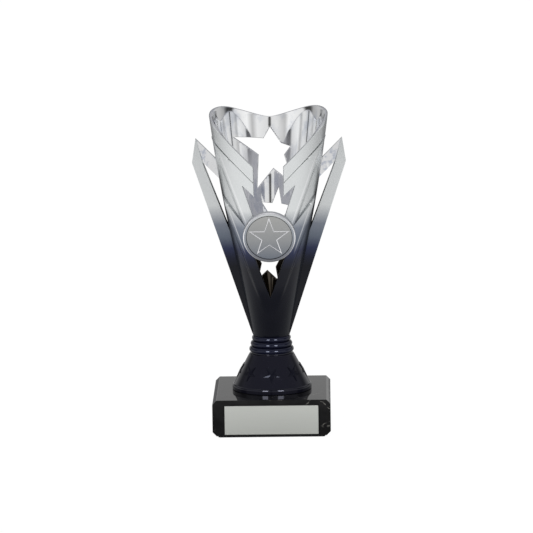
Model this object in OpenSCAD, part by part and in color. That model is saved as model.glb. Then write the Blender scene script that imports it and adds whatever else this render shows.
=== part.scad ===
// Column trophy: a metallised cup with two wings, on a flared riser and a marble base.
// Every dimension is in millimetres. +Z is up, the front faces -Y, and the origin is
// at the middle of the surface that the trophy rests on.

/* [Base] */
// Width of the marble base, left to right
base_w = 65; // [50:1:90]
// Depth of the marble base, front to back
base_d = 70; // [56:1:90]
// Height of the marble base
base_h = 20; // [16:1:40]
// Chamfer along the base's four long edges
base_chamfer = 2.3; // [0.5:0.1:3.5]
// Thickness of the felt under the base
felt_t = 0.8; // [0.5:0.1:2]
// How far the felt stays inside the base's underside
felt_inset = 0.8; // [0.2:0.1:3]

/* [Engraving plate] */
// Width of the plate
plate_w = 51.5; // [30:0.5:60]
// Height of the plate
plate_h = 16; // [10:0.5:18]
// Thickness of the plate
plate_t = 0.6; // [0.3:0.1:1]
// Thickness of the adhesive film behind the plate and behind the medal
tape_t = 0.15; // [0.1:0.05:0.5]

/* [Riser] */
// Diameter of the riser's foot flange
flange_d = 44.2; // [36.8:0.2:56]
// Height of the foot flange
flange_h = 2.9; // [2:0.1:5]
// Height of the riser, flange included
riser_h = 20.9; // [16:0.1:32]
// Diameter at the top of the flared skirt
skirt_top_d = 24.4; // [18:0.2:27]
// Wall of the hollow riser
riser_wall = 2; // [1.4:0.1:3]
// Thickness of the riser's top, which the rod passes through
riser_top_t = 3; // [2:0.1:5]
// Number of raised stars around the skirt
skirt_stars = 8; // [5:1:9]
// Radius of a skirt star, centre to tip
skirt_star_r = 4.8; // [3:0.1:5]
// How far a skirt star stands proud
skirt_star_raise = 0.5; // [0.3:0.1:0.8]

/* [Collar] */
// Radius of the lowest and widest ring
ring_r = 12.4; // [11.5:0.1:14]
// How much smaller each ring is than the one below it
ring_step = 0.8; // [0:0.1:1]
// Height that each ring takes up
ring_pitch = 3.13; // [2.6:0.01:4]
// Number of rings
ring_count = 3; // [2:1:4]

/* [Cup] */
// Height of the cup, from its foot to the top of its ears
cup_h = 126; // [118:1:152]
// Diameter of the cup at its foot
cup_foot_d = 20.5; // [19:0.1:26]
// Diameter of the cup at the height of its ears
cup_mouth_d = 66.2; // [60:0.2:80]
// Slope of the cup's lower wall, from the vertical
cup_angle = 11.6; // [10:0.1:13]
// Height up to which the wall is straight
cup_straight_h = 54.7; // [40:0.1:70]
// Wall of the cup
cup_wall = 1.6; // [1.2:0.1:2.4]
// Thickness of the cup's floor
cup_floor_t = 4; // [3:0.1:6]
// Depth of the dip at the back of the rim, below the ears
rim_dip = 7.5; // [4:0.1:12]
// Slope of the V in the front of the rim, from the horizontal
v_angle = 44.3; // [40:0.1:48]
// Half the width of the slot in the front wall
slot_half_w = 8; // [6:0.1:9]
// How far the band and the blades stand proud of the front wall
blade_raise = 0.6; // [0.3:0.1:1]

/* [Wings] */
// Thickness of a wing's rib, front to back
wing_t = 6; // [4:0.1:9]
// Thickness of the bridge that joins the rib's tip to the cup
bridge_t = 3.6; // [2:0.1:4]
// Width of the rib, measured level
rib_w = 6.2; // [4.5:0.1:7]
// How far the wing's widest corner lies from the cup's axis
wing_reach = 42.4; // [40:0.1:46]
// Height of that corner above the cup's foot
wing_corner_h = 97.2; // [92:0.1:102]
// Height of the wing's tip above the cup's foot
wing_tip_h = 110.3; // [106:0.1:114]

/* [Medal] */
// Outer diameter of the medal holder
holder_d = 28.8; // [27.6:0.1:32]
// Thickness of the holder's rim
holder_t = 3.4; // [3:0.1:5]
// Diameter of the medal
medal_d = 25; // [20:0.1:26]
// Thickness of the medal
medal_t = 1; // [0.6:0.1:1.4]
// Height of the holder's centre above the cup's foot
medal_h = 59; // [56:0.5:61]

/* [Fixings] */
// Diameter of the threaded rod
rod_d = 6; // [5:0.5:8]
// Diameter of the recess under the base
recess_d = 22; // [20:0.5:26]
// Depth of the recess under the base
recess_depth = 9; // [8.5:0.1:12]
// Thickness of a nut
nut_h = 5; // [4:0.1:6]
// Distance across a nut's flats
nut_flats = 10; // [9:0.5:12]
// Thickness of a washer
washer_t = 1.6; // [1:0.1:2]

/* [Hidden] */
$fn = 96;

// Clearances and cutting margins
fit_gap = 0.05;
rod_gap = 0.25;
medal_gap = 0.2;
past = 1;
far = 60;

// Heights of the stack, from the surface upwards
base_top = felt_t + base_h;
plate_low = felt_t + 1;
collar_z = base_top + riser_h;
collar_h = ring_pitch * ring_count;
cup_z = collar_z + collar_h;
floor_top = cup_z + cup_floor_t;
recess_roof = felt_t + recess_depth;
rod_end = 2.5;
rod_low = recess_roof - washer_t - nut_h - 0.8;
rod_high = floor_top + washer_t + nut_h + rod_end;

// The cup's wall: straight up to cup_straight_h, then easing towards the vertical
cup_slope = tan(cup_angle);
cup_ease = (cup_foot_d / 2 + cup_slope * cup_h - cup_mouth_d / 2)
    / pow(cup_h - cup_straight_h, 2);
cup_steps = 9;
function cup_r(h) = cup_foot_d / 2 + cup_slope * h
    - cup_ease * pow(max(0, h - cup_straight_h), 2);
function wall_heights(top) = concat(
    [0],
    [for (i = [0 : cup_steps]) cup_straight_h + (top - cup_straight_h) * i / cup_steps]
);

// Rim: the front is a V that runs into the slot, the back dips between two round ears,
// and seen from the side the rim falls away forwards from the top of each ear
ear_y = 20;
ear_x = 24;
ear_fall = 0.0068;
ear_edge = cup_mouth_d / 2 + past;
v_low = cup_h - 28.2;
v_out_x = 29.5;
back_slope = 0.36;
back_round = 1.5;
function back_rim(x) = cup_h - rim_dip - back_round
    + sqrt(pow(back_slope * x, 2) + pow(back_round, 2));
function side_rim(y) = cup_h - ear_fall * pow(ear_y - y, 2);

// Outlines in the front view. Each is a list of [x, height above the cup's foot].
groove_low = 88.3;
groove_out = 27.3;
groove_w = 0.5;
prong_tip = 81;
prong_root = [14, 86.7];
window_low = 66;
window_low_x = 7.2;
lower_window_top = 51;
lower_window_x = 9.8;
lower_window_tip = 23.5;
ridge_1 = [[27.2, 105.5], [15.2, 73]];
blade_2_top = [[23.4, 77.2], [11, 61.3]];
ridge_2 = [[23.2, 75.6], [13.1, 47.4], [3, 18]];
star_1 = [
    [0.3, 112.5], [6.3, 103.7], [11.5, 102], [8, 97.2], [13, 81.5],
    [2, 89.8], [-7, 79.1], [-6.1, 97.4], [-19.7, 108], [-3.3, 106.3]
];
star_2 = [
    [4.9, 79.3], [6.3, 70.2], [12.5, 69], [7.8, 64], [9.5, 56.5],
    [4.5, 60.5], [-1.5, 56], [0, 63.5], [-4.5, 71], [1.3, 70.4]
];
star_3 = [
    [1, 53], [2.6, 45.5], [7.5, 44.5], [2.6, 35.5], [3.8, 28.5],
    [-2, 33.8], [-6.8, 29.5], [-5, 37.5], [-8, 43.5], [-2.6, 44.5]
];

// The wing's corners in the front view
wing_tip_x = wing_reach - 2;
bridge_drop = 13.4;
bridge_slope = 1;
rib_foot_x = cup_foot_d / 2 + 0.3;
rib_foot_h = 1.5;
wing_root_in = 4;
gap_low_h = 62.7;

// The medal stands parallel to the lower wall
holder_lip = 1.1;
holder_recess = 1.4;
boss_r = 9.5;
boss_deep = 5;
peg_r = 2.5;
peg_in = 3;
peg_root = 1;
star_line = 0.45;
star_line_raise = 0.2;
medal_star_r = medal_d / 2 - 0.4;

nut_r = nut_flats / 2 / cos(30);
top_washer_d = 12.5;
bottom_washer_d = 18;

// A five-pointed star, one tip along +Y
star_waist = sin(18) / sin(54);
module star_2d(r) {
    polygon([
        for (i = [0 : 9])
            let (a = 90 + 36 * i, d = i % 2 == 0 ? r : r * star_waist)
                [d * cos(a), d * sin(a)]
    ]);
}

// Stands a front-view outline upright and gives it the depth y0 to y1
module upright(y0, y1) {
    translate([0, y1, 0]) rotate([90, 0, 0]) linear_extrude(y1 - y0) children();
}

// The same outline on the left and on the right
module both_sides() {
    children();
    mirror([1, 0, 0]) children();
}

// A solid of the cup's outer shape, larger all round by grow
module cup_body(top, grow) {
    hs = wall_heights(top);
    translate([0, 0, cup_z]) rotate_extrude() polygon(concat(
        [[0, 0]],
        [for (h = hs) [cup_r(h) + grow, h]],
        [[0, top]]
    ));
}

// A skin on the cup's wall, from inner to outer, both measured from its outer face
module cup_skin(inner, outer) {
    hs = wall_heights(cup_h);
    n = len(hs);
    translate([0, 0, cup_z]) rotate_extrude() polygon(concat(
        [for (h = hs) [cup_r(h) + outer, h]],
        [for (i = [1 : n]) [cup_r(hs[n - i]) + inner, hs[n - i]]]
    ));
}

// Front-view outline that is kept of the wall's front half
module front_outline() {
    v_out_h = v_low + tan(v_angle) * (v_out_x - slot_half_w);
    both_sides() polygon([
        [0, 0],
        [ear_edge, 0],
        [ear_edge, cup_h + past],
        [v_out_x, cup_h + past],
        [v_out_x, v_out_h],
        [slot_half_w, v_low],
        [0, v_low]
    ]);
}

// Front-view outline that is kept of the wall's back half
module back_outline() {
    step = 2;
    polygon(concat(
        [[-ear_edge, 0], [ear_edge, 0], [ear_edge, cup_h + past], [ear_x, cup_h + past]],
        [for (x = [ear_x : -step : -ear_x]) [x, back_rim(x)]],
        [[-ear_x, cup_h + past], [-ear_edge, cup_h + past]]
    ));
}

// Side-view outline, a list of [y, height], that the rim falls along between the ears
// and the front V. It stands on edge and runs through from left to right.
module side_trim() {
    step = 3;
    rotate([90, 0, 90]) translate([0, 0, -far]) linear_extrude(2 * far) polygon(concat(
        [[far, 0], [far, cup_h + past], [ear_y, cup_h + past]],
        [for (y = [ear_y : -step : -far]) [y, side_rim(y)]],
        [[-far, 0]]
    ));
}

// The opening in the front wall: the slot, the notches under the prongs and the V below
module window_outline() {
    both_sides() polygon([
        [-past, v_low + past],
        [slot_half_w, v_low + past],
        [slot_half_w, prong_tip],
        prong_root,
        [window_low_x, window_low],
        [-past, window_low]
    ]);
}

module lower_window_outline() {
    polygon([
        [-lower_window_x, lower_window_top],
        [lower_window_x, lower_window_top],
        [0, lower_window_tip]
    ]);
}

// The raised band along the V, right half
module band_outline() {
    polygon([
        [slot_half_w, groove_low + groove_w],
        [slot_half_w, v_low + past],
        [ear_edge, v_low + past + tan(v_angle) * (ear_edge - slot_half_w)],
        [groove_out, groove_low + groove_w + groove_out - slot_half_w]
    ]);
}

// The upper blade, right half
module blade_1_outline() {
    polygon([
        [slot_half_w, groove_low],
        [groove_out, groove_low + groove_out - slot_half_w],
        ridge_1[0],
        ridge_1[1],
        [window_low_x, window_low],
        prong_root,
        [slot_half_w, prong_tip]
    ]);
}

// The lower blade, right half
module blade_2_outline() {
    polygon([
        blade_2_top[0],
        ridge_2[0],
        ridge_2[1],
        ridge_2[2],
        [0, ridge_2[2][1] - 3],
        [0, lower_window_tip],
        [lower_window_x, lower_window_top],
        blade_2_top[1]
    ]);
}

module rod_bore(z0, z1) {
    translate([0, 0, z0 - past])
        cylinder(h = z1 - z0 + 2 * past, r = rod_d / 2 + rod_gap);
}

module washer(z, d) {
    translate([0, 0, z]) difference() {
        cylinder(h = washer_t, d = d);
        translate([0, 0, -past])
            cylinder(h = washer_t + 2 * past, r = rod_d / 2 + rod_gap);
    }
}

module nut(z) {
    translate([0, 0, z]) difference() {
        cylinder(h = nut_h, r = nut_r, $fn = 6);
        translate([0, 0, -past])
            cylinder(h = nut_h + 2 * past, r = rod_d / 2 + fit_gap, $fn = 96);
    }
}

// Turns a shape drawn flat so that its face looks forwards, square to the lower wall
module on_front_wall() {
    translate([0, -cup_r(medal_h), cup_z + medal_h])
        rotate([90 + cup_angle, 0, 0]) children();
}

module marble_base() {
    c = base_chamfer;
    color([0.09, 0.09, 0.10]) difference() {
        translate([0, 0, felt_t]) upright(-base_d / 2, base_d / 2) polygon([
            [-base_w / 2 + c, 0], [base_w / 2 - c, 0],
            [base_w / 2, c], [base_w / 2, base_h - c],
            [base_w / 2 - c, base_h], [-base_w / 2 + c, base_h],
            [-base_w / 2, base_h - c], [-base_w / 2, c]
        ]);
        rod_bore(felt_t, base_top);
        translate([0, 0, felt_t - past])
            cylinder(h = recess_depth + past, d = recess_d);
    }
}

module felt_sheet() {
    w = base_w - 2 * base_chamfer - 2 * felt_inset;
    d = base_d - 2 * felt_inset;
    color([0.05, 0.05, 0.06]) translate([-w / 2, -d / 2, 0]) cube([w, d, felt_t]);
}

module plate_tape() {
    edge = 1;
    color([0.9, 0.9, 0.86])
        translate([-plate_w / 2 + edge, -base_d / 2 - tape_t, plate_low + edge])
            cube([plate_w - 2 * edge, tape_t, plate_h - 2 * edge]);
}

module engraving_plate() {
    color([0.70, 0.71, 0.69])
        translate([-plate_w / 2, -base_d / 2 - tape_t - plate_t, plate_low])
            cube([plate_w, plate_t, plate_h]);
}

// Half of the riser's section: flange, flared skirt and neck
module riser_section(grow) {
    neck_h = 0.6;
    neck_r = skirt_top_d / 2 - 1.2;
    foot_r = flange_d / 2 - 0.8;
    top = riser_h - neck_h;
    polygon([
        [0, flange_h],
        [foot_r + grow, flange_h],
        [skirt_top_d / 2 + grow, top],
        [neck_r, top],
        [neck_r, riser_h],
        [0, riser_h]
    ]);
}

module riser() {
    edge = 0.7;
    hollow_r = flange_d / 2 - riser_wall - 1.5;
    roof = riser_h - riser_top_t;
    skirt_run = flange_d / 2 - 0.8 - skirt_top_d / 2;
    skirt_rise = riser_h - 0.6 - flange_h;
    skirt_lean = atan(skirt_run / skirt_rise);
    star_h = 7.2;
    star_at_r = flange_d / 2 - 0.8 - skirt_run * (star_h - flange_h + 3.4) / skirt_rise;
    color([0.07, 0.07, 0.10]) translate([0, 0, base_top]) difference() {
        union() {
            rotate_extrude() polygon([
                [0, 0], [flange_d / 2 - edge / 2, 0], [flange_d / 2, edge / 2],
                [flange_d / 2, flange_h - edge], [flange_d / 2 - edge, flange_h],
                [0, flange_h]
            ]);
            rotate_extrude() riser_section(0);
            intersection() {
                rotate_extrude() riser_section(skirt_star_raise);
                for (i = [0 : skirt_stars - 1])
                    rotate([0, 0, 360 / skirt_stars * i - 90])
                        translate([star_at_r, 0, star_h + 3.4])
                            rotate([0, 90 - skirt_lean, 0])
                                translate([0, 0, -3])
                                    linear_extrude(6)
                                        rotate([0, 0, -90]) star_2d(skirt_star_r);
            }
        }
        translate([0, 0, -past]) rotate_extrude() polygon([
            [0, 0], [hollow_r, 0], [hollow_r, past + flange_h],
            [skirt_top_d / 2 - riser_wall, past + roof], [0, past + roof]
        ]);
        rod_bore(roof, riser_h);
    }
}

module collar() {
    tube_r = ring_pitch * 0.53;
    top_r = ring_r - ring_step * ring_count - 0.6;
    core_r = ring_r - 1.5;
    color([0.08, 0.08, 0.12]) translate([0, 0, collar_z]) difference() {
        rotate_extrude() intersection() {
            square([ring_r + past, collar_h]);
            union() {
                polygon([[0, 0], [core_r, 0], [top_r, collar_h], [0, collar_h]]);
                for (i = [0 : ring_count - 1])
                    translate([
                        ring_r - ring_step * i - tube_r,
                        ring_pitch * (i + 0.5)
                    ]) circle(r = tube_r, $fn = 48);
            }
        }
        rod_bore(0, collar_h);
    }
}

module cup() {
    rise = [0, 0, cup_z];
    color([0.62, 0.63, 0.66]) difference() {
        union() {
            intersection() {
                difference() {
                    cup_body(cup_h, 0);
                    difference() {
                        cup_body(cup_h + past, -cup_wall);
                        cylinder(h = floor_top, r = far);
                    }
                }
                translate(rise) union() {
                    upright(-far, 0) front_outline();
                    upright(0, far) back_outline();
                }
                translate(rise) side_trim();
            }
            intersection() {
                cup_skin(-cup_wall / 2, blade_raise);
                translate(rise) upright(-far, 0) intersection() {
                    both_sides() {
                        band_outline();
                        blade_1_outline();
                        blade_2_outline();
                    }
                    front_outline();
                }
                translate(rise) side_trim();
            }
        }
        translate(rise) upright(-far, 0) {
            window_outline();
            lower_window_outline();
        }
        translate(rise) upright(0, far) {
            polygon(star_1);
            polygon(star_2);
            polygon(star_3);
        }
        on_front_wall() translate([0, 0, -boss_deep])
            cylinder(h = 2 * boss_deep, r = peg_r + fit_gap);
        rod_bore(cup_z, floor_top);
    }
}

// Front-view outline of the right wing, running inside the cup's wall
module wing_outline() {
    bridge_in = 24;
    difference() {
        polygon([
            [wing_tip_x, wing_tip_h],
            [wing_reach, wing_corner_h],
            [rib_foot_x, rib_foot_h],
            [rib_foot_x - wing_root_in, rib_foot_h + 4],
            [bridge_in, wing_tip_h - bridge_slope * (wing_tip_x - bridge_in)]
        ]);
        wing_gap_outline();
    }
}

// The open triangle between the rib, the bridge and the cup
module wing_gap_outline() {
    gap_in = 20;
    corner_x = wing_reach - rib_w;
    corner_h = wing_tip_h - bridge_drop;
    polygon([
        [corner_x, corner_h],
        [gap_in, corner_h - bridge_slope * (corner_x - gap_in)],
        [gap_in, gap_low_h],
        [cup_r(gap_low_h), gap_low_h]
    ]);
}

// The bridge's front-view outline, which the wing is thinner in
module bridge_outline() {
    polygon([
        [wing_tip_x, wing_tip_h + past],
        [wing_tip_x - 0.2, wing_tip_h - 0.6],
        [wing_reach - rib_w, wing_tip_h - bridge_drop],
        [0, wing_tip_h - bridge_drop - wing_reach + rib_w],
        [0, wing_tip_h + past]
    ]);
}

module wing() {
    color([0.66, 0.67, 0.70]) difference() {
        translate([0, 0, cup_z]) difference() {
            upright(-wing_t / 2, wing_t / 2) wing_outline();
            upright(-wing_t, -bridge_t / 2) bridge_outline();
            upright(bridge_t / 2, wing_t) bridge_outline();
        }
        cup_body(cup_h, fit_gap);
    }
}

module wing_right() {
    wing();
}

module wing_left() {
    mirror([1, 0, 0]) wing();
}

module medal_holder() {
    r = holder_d / 2;
    round_r = holder_lip / 2;
    color([0.66, 0.67, 0.68]) difference() {
        on_front_wall() difference() {
            union() {
                rotate_extrude() union() {
                    square([r - round_r, holder_t]);
                    square([r, holder_t - round_r]);
                    translate([r - round_r, holder_t - round_r])
                        circle(r = round_r, $fn = 48);
                }
                translate([0, 0, -boss_deep]) cylinder(h = boss_deep, r = boss_r);
            }
            translate([0, 0, holder_t - holder_recess])
                cylinder(h = holder_recess + past, r = medal_d / 2 + medal_gap);
        }
        cup_body(cup_h, fit_gap + blade_raise);
    }
    color([0.66, 0.67, 0.68]) on_front_wall() translate([0, 0, -peg_in])
        cylinder(h = peg_in + peg_root, r = peg_r);
}

module medal_tape() {
    edge = 1.5;
    color([0.9, 0.9, 0.86]) on_front_wall()
        translate([0, 0, holder_t - holder_recess])
            cylinder(h = tape_t, r = medal_d / 2 - edge);
}

module medal() {
    line_in = star_line / sin(18);
    color([0.72, 0.73, 0.72]) on_front_wall()
        translate([0, 0, holder_t - holder_recess + tape_t]) union() {
            cylinder(h = medal_t, d = medal_d);
            translate([0, 0, medal_t / 2])
                linear_extrude(medal_t / 2 + star_line_raise) difference() {
                    star_2d(medal_star_r);
                    star_2d(medal_star_r - line_in);
                }
        }
}

module threaded_rod() {
    color([0.72, 0.72, 0.70]) translate([0, 0, rod_low])
        cylinder(h = rod_high - rod_low, d = rod_d);
}

module top_nut() {
    color([0.75, 0.75, 0.72]) nut(floor_top + washer_t);
}

module top_washer() {
    color([0.75, 0.75, 0.72]) washer(floor_top, top_washer_d);
}

module bottom_nut() {
    color([0.75, 0.75, 0.72]) nut(recess_roof - washer_t - nut_h);
}

module bottom_washer() {
    color([0.75, 0.75, 0.72]) washer(recess_roof - washer_t, bottom_washer_d);
}

marble_base();
felt_sheet();
plate_tape();
engraving_plate();
riser();
collar();
cup();
wing_left();
wing_right();
medal_holder();
medal_tape();
medal();
threaded_rod();
top_nut();
top_washer();
bottom_nut();
bottom_washer();
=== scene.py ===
"""A column trophy: a metallised cup with two wings on a flared riser and a marble base.

Shapes are worked out in millimetres and brought to metres when a piece is finished.
The front faces -Y, +Z is up, and the origin is under the middle of the base.
"""
import math

import bmesh
import bpy
from bmesh.types import BMEdge, BMFace, BMVert
from mathutils import Matrix, Vector


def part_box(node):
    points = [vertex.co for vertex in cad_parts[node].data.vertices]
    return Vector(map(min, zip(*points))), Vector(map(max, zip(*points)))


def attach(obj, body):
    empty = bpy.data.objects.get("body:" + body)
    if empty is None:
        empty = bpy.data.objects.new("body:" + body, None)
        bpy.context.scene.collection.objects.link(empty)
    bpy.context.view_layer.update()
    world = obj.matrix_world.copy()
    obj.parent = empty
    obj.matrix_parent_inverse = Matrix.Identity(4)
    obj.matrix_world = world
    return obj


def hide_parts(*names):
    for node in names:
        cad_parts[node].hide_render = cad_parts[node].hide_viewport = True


bl_info = {
    "name": "Column Trophy",
    "version": (1, 0, 0),
    "blender": (4, 5, 0),
    "location": "View3D > Sidebar > Trophy",
    "description": "Builds a column trophy round its packed frame",
    "category": "Add Mesh",
}

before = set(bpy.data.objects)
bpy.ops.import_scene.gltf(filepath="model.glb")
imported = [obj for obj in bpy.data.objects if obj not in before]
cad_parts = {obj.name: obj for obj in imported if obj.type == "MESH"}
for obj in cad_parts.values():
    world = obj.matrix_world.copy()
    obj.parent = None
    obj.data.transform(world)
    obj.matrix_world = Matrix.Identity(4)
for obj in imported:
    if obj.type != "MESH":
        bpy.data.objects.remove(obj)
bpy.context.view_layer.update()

MM = 0.001
FULL_TURN = math.tau
UP = Vector((0, 0, 1))
SAME_PLACE = 1e-4

# How many sides a spun piece has.
RISER_SIDES = 144
ROUND_SIDES = 128
SMALL_SIDES = 72


def corners(node):
    """Lowest and highest corner of a CAD node, in millimetres."""
    low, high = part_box(node)
    return low / MM, high / MM


BASE_LOW, BASE_HIGH = corners("marble_base")
FELT_LOW, FELT_HIGH = corners("felt_sheet")
PLATE_LOW, PLATE_HIGH = corners("engraving_plate")
RISER_LOW, RISER_HIGH = corners("riser")
COLLAR_LOW, COLLAR_HIGH = corners("collar")
CUP_LOW, CUP_HIGH = corners("cup")
WING_LOW, WING_HIGH = corners("wing_right")
ROD_LOW, ROD_HIGH = corners("threaded_rod")


# ---------------------------------------------------------------- properties


def length(name, description, millimetres):
    """A length that a user can change, given in millimetres and kept in metres."""
    return bpy.props.FloatProperty(
        name=name, description=description, default=millimetres * MM, unit="LENGTH"
    )


def angle(name, description, degrees):
    return bpy.props.FloatProperty(
        name=name,
        description=description,
        default=math.radians(degrees),
        subtype="ANGLE",
    )


def share(name, description, value):
    return bpy.props.FloatProperty(
        name=name, description=description, default=value, min=0, max=1, subtype="FACTOR"
    )


def colour(name, description, value):
    return bpy.props.FloatVectorProperty(
        name=name, description=description, default=value, size=3, subtype="COLOR"
    )


class BaseSizes(bpy.types.PropertyGroup):
    chamfer: length("Chamfer", "Chamfer along the base's four long edges", 2.3)
    edge: length("Edge", "Rounding of the base's polished edges", 0.3)
    recess: length("Recess", "Radius of the recess under the base", 11)
    recess_depth: length("Recess depth", "Depth of the recess under the base", 9)
    bore: length("Bore", "Radius of the bore for the rod", 3.25)
    felt_corner: length("Felt corner", "Corner radius of the felt", 1.5)
    felt_edge: length("Felt edge", "Rounding of the felt's edges", 0.15)
    plate_corner: length("Plate corner", "Corner radius of the engraving plate", 0.35)
    plate_edge: length("Plate edge", "Bright bevel round the plate's face", 0.22)


class RiserSizes(bpy.types.PropertyGroup):
    flange: length("Flange", "Height of the foot flange", 2.9)
    skirt_top: length("Skirt top", "Radius at the top of the skirt", 12.2)
    neck: length("Neck", "Radius of the groove under the collar", 11)
    neck_height: length("Neck height", "Height of that groove", 0.6)
    wall: length("Wall", "Wall of the hollow riser", 2)
    roof: length("Roof", "Thickness of the riser's top", 3)
    ledge: length("Ledge", "Step from the flange's side in to the skirt", 0.8)
    ledge_rise: length("Ledge rise", "How much that step climbs", 0.15)
    foot_wall: length("Foot wall", "How much thicker the wall is at the foot", 1.5)
    stars: bpy.props.IntProperty(
        name="Stars", description="Raised stars round the skirt", default=8, min=3
    )
    star: length("Star", "Radius of a star, centre to tip", 4.8)
    star_level: length("Star level", "Height of the stars' centres on the riser", 10.6)
    star_raise: length("Star raise", "How far a star stands proud", 0.8)
    star_root: length("Star root", "How deep a star reaches into the skirt", 0.5)
    star_edge: share("Star edge", "Share of its height that a star has at its outline", 0.65)
    star_peak: share("Star peak", "Share of its height that it gains in the middle", 0.25)


class CollarSizes(bpy.types.PropertyGroup):
    ring: length("Ring", "Radius of the lowest ring", 12.4)
    step: length("Step", "How much smaller each ring is than the one below", 0.8)
    rings: bpy.props.IntProperty(name="Rings", description="Number of rings", default=3)
    fullness: share("Fullness", "Tube radius of a ring as a share of its height", 0.53)


class CupSizes(bpy.types.PropertyGroup):
    foot: length("Foot", "Radius of the cup's foot", 10.25)
    mouth: length("Mouth", "Radius of the cup at its ears", 33.1)
    slope: angle("Slope", "Slope of the lower wall from the vertical", 11.6)
    straight: length("Straight part", "Height up to which the wall is straight", 54.7)
    wall: length("Wall", "Thickness of the cup's wall", 1.6)
    floor: length("Floor", "Thickness of the cup's floor", 4)
    dip: length("Rim dip", "Depth of the dip in the back of the rim", 7.5)
    v_angle: angle("V angle", "Slope of the V in the front of the rim", 44.3)
    v_low: length("V low", "Height at which the V runs into the slot", 97.8)
    slot: length("Slot", "Half the width of the slot in the front wall", 8)
    band_raise: length("Band raise", "How far the band along the V stands proud", 0.75)
    blade_raise: length("Blade raise", "How far a blade's ridge stands proud", 1.3)
    flank: length("Flank", "Width of a blade's sloping outer side", 2.4)
    groove: length("Groove", "Width of the grooves above the blades", 0.5)
    groove_depth: length("Groove depth", "Depth of those grooves", 0.35)
    lip: length("Lip", "Rounding of the cut edges of the wall", 0.28)


class WingSizes(bpy.types.PropertyGroup):
    rib: length("Rib", "Width of the rib, measured level", 6.2)
    bridge: length("Bridge", "Thickness of the bridge to the cup", 3.6)
    draft: length("Draft", "How much the rib narrows towards its front face", 0.45)
    tip_slope: length("Tip slope", "How far the rib's tip leans back", 1.1)
    edge: length("Edge", "Rounding of the wing's edges", 0.28)
    root: length("Root", "How deep the wing's root lies in the cup's wall", 0.8)
    tip: length("Tip", "Height of the wing's tip above the cup's foot", 110.3)
    tip_in: length("Tip inset", "How far the tip lies in from the outer corner", 2)
    corner: length("Corner", "Height of the wing's outer corner", 97.2)
    drop: length("Drop", "How far the bridge's underside lies below the tip", 13.4)
    shoulder: length("Shoulder", "Length of the short slope beside the tip", 0.6)
    gap_low: length("Gap low", "Height of the lower end of the wing's gap", 62.7)
    foot: length("Foot", "Height of the wing's lower end", 1.5)
    foot_out: length("Foot out", "How far that end stands off the cup's foot", 0.3)


class MedalSizes(bpy.types.PropertyGroup):
    level: length("Level", "Height of the medal's centre above the cup's foot", 59)
    holder: length("Holder", "Outer radius of the medal holder", 14.4)
    holder_depth: length("Holder depth", "Thickness of the holder's rim", 3.4)
    recess: length("Recess", "Depth of the seat for the medal", 1.4)
    boss: length("Boss", "Radius of the boss behind the holder", 9.5)
    peg: length("Peg", "Radius of the peg through the cup's wall", 2.5)
    peg_in: length("Peg length", "How far the peg reaches behind the wall's face", 3)
    boss_depth: length("Boss depth", "How far the boss starts behind the holder", 2.2)
    burnish: length("Burnish", "Width of the bright chamfer round the holder", 0.5)
    seat_gap: length("Seat gap", "How much the seat is wider than the medal", 0.2)
    medal: length("Medal", "Radius of the medal", 12.5)
    thickness: length("Thickness", "Thickness of the medal", 1)
    tape: length("Tape", "Thickness of the film behind the medal", 0.15)
    star: length("Star", "Radius of the star on the medal", 12.1)
    star_line: length("Star line", "Width of the star's raised outline", 0.6)
    star_raise: length("Star raise", "How far that outline stands proud", 0.24)


class FixingSizes(bpy.types.PropertyGroup):
    pitch: length("Pitch", "Pitch of the rod's thread", 1)
    thread: length("Thread", "Depth of the rod's thread", 0.5)
    chamfer: length("Chamfer", "Chamfer on the nuts and the rod's ends", 0.5)
    nut_face: share("Nut face", "Radius of a nut's round face as a share of its flats", 0.97)
    nut_mouth: length("Nut mouth", "How much wider a nut's bore is at its mouth", 0.15)
    washer_edge: length("Washer edge", "Rounding of the washers", 0.2)


class Finishes(bpy.types.PropertyGroup):
    silver: colour("Silver", "Satin silver, high on the cup", (0.73, 0.75, 0.75))
    steel: colour("Steel blue", "Where the silver turns", (0.235, 0.258, 0.305))
    slate: colour("Slate", "Lower in the fade", (0.155, 0.18, 0.225))
    dusk: colour("Dusk", "Navy part of the fade", (0.038, 0.046, 0.100))
    night: colour("Night", "End of the fade", (0.0038, 0.0045, 0.0105))
    black: colour("Black", "Gloss black of the riser", (0.003, 0.003, 0.0055))
    navy: colour("Navy", "Gloss navy of the collar", (0.003, 0.0034, 0.009))
    chrome: colour("Chrome", "Mirror-bright inside of the cup", (0.93, 0.935, 0.94))
    # The next colour is painted shade: the chrome darkens low inside the cup.
    inner_shade: colour("Smoke", "Dark stain low inside the cup", (0.055, 0.045, 0.035))
    aluminium: colour("Aluminium", "Engraving plate", (0.90, 0.925, 0.865))
    medal: colour("Medal", "Face of the medal", (0.41, 0.412, 0.40))
    marble: colour("Marble", "Body of the marble", (0.0080, 0.0080, 0.0082))
    vein: colour("Vein", "Veins in the marble", (0.32, 0.31, 0.28))
    felt: colour("Felt", "Felt under the base", (0.012, 0.012, 0.013))
    film: colour("Film", "Adhesive film", (0.75, 0.74, 0.68))
    zinc: colour("Zinc", "Rod, nuts and washers", (0.62, 0.62, 0.60))
    fade_low: length("Fade low", "Height below which the cup is navy black", 90)
    fade_high: length("Fade high", "Height above which the cup is silver", 126)


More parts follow.
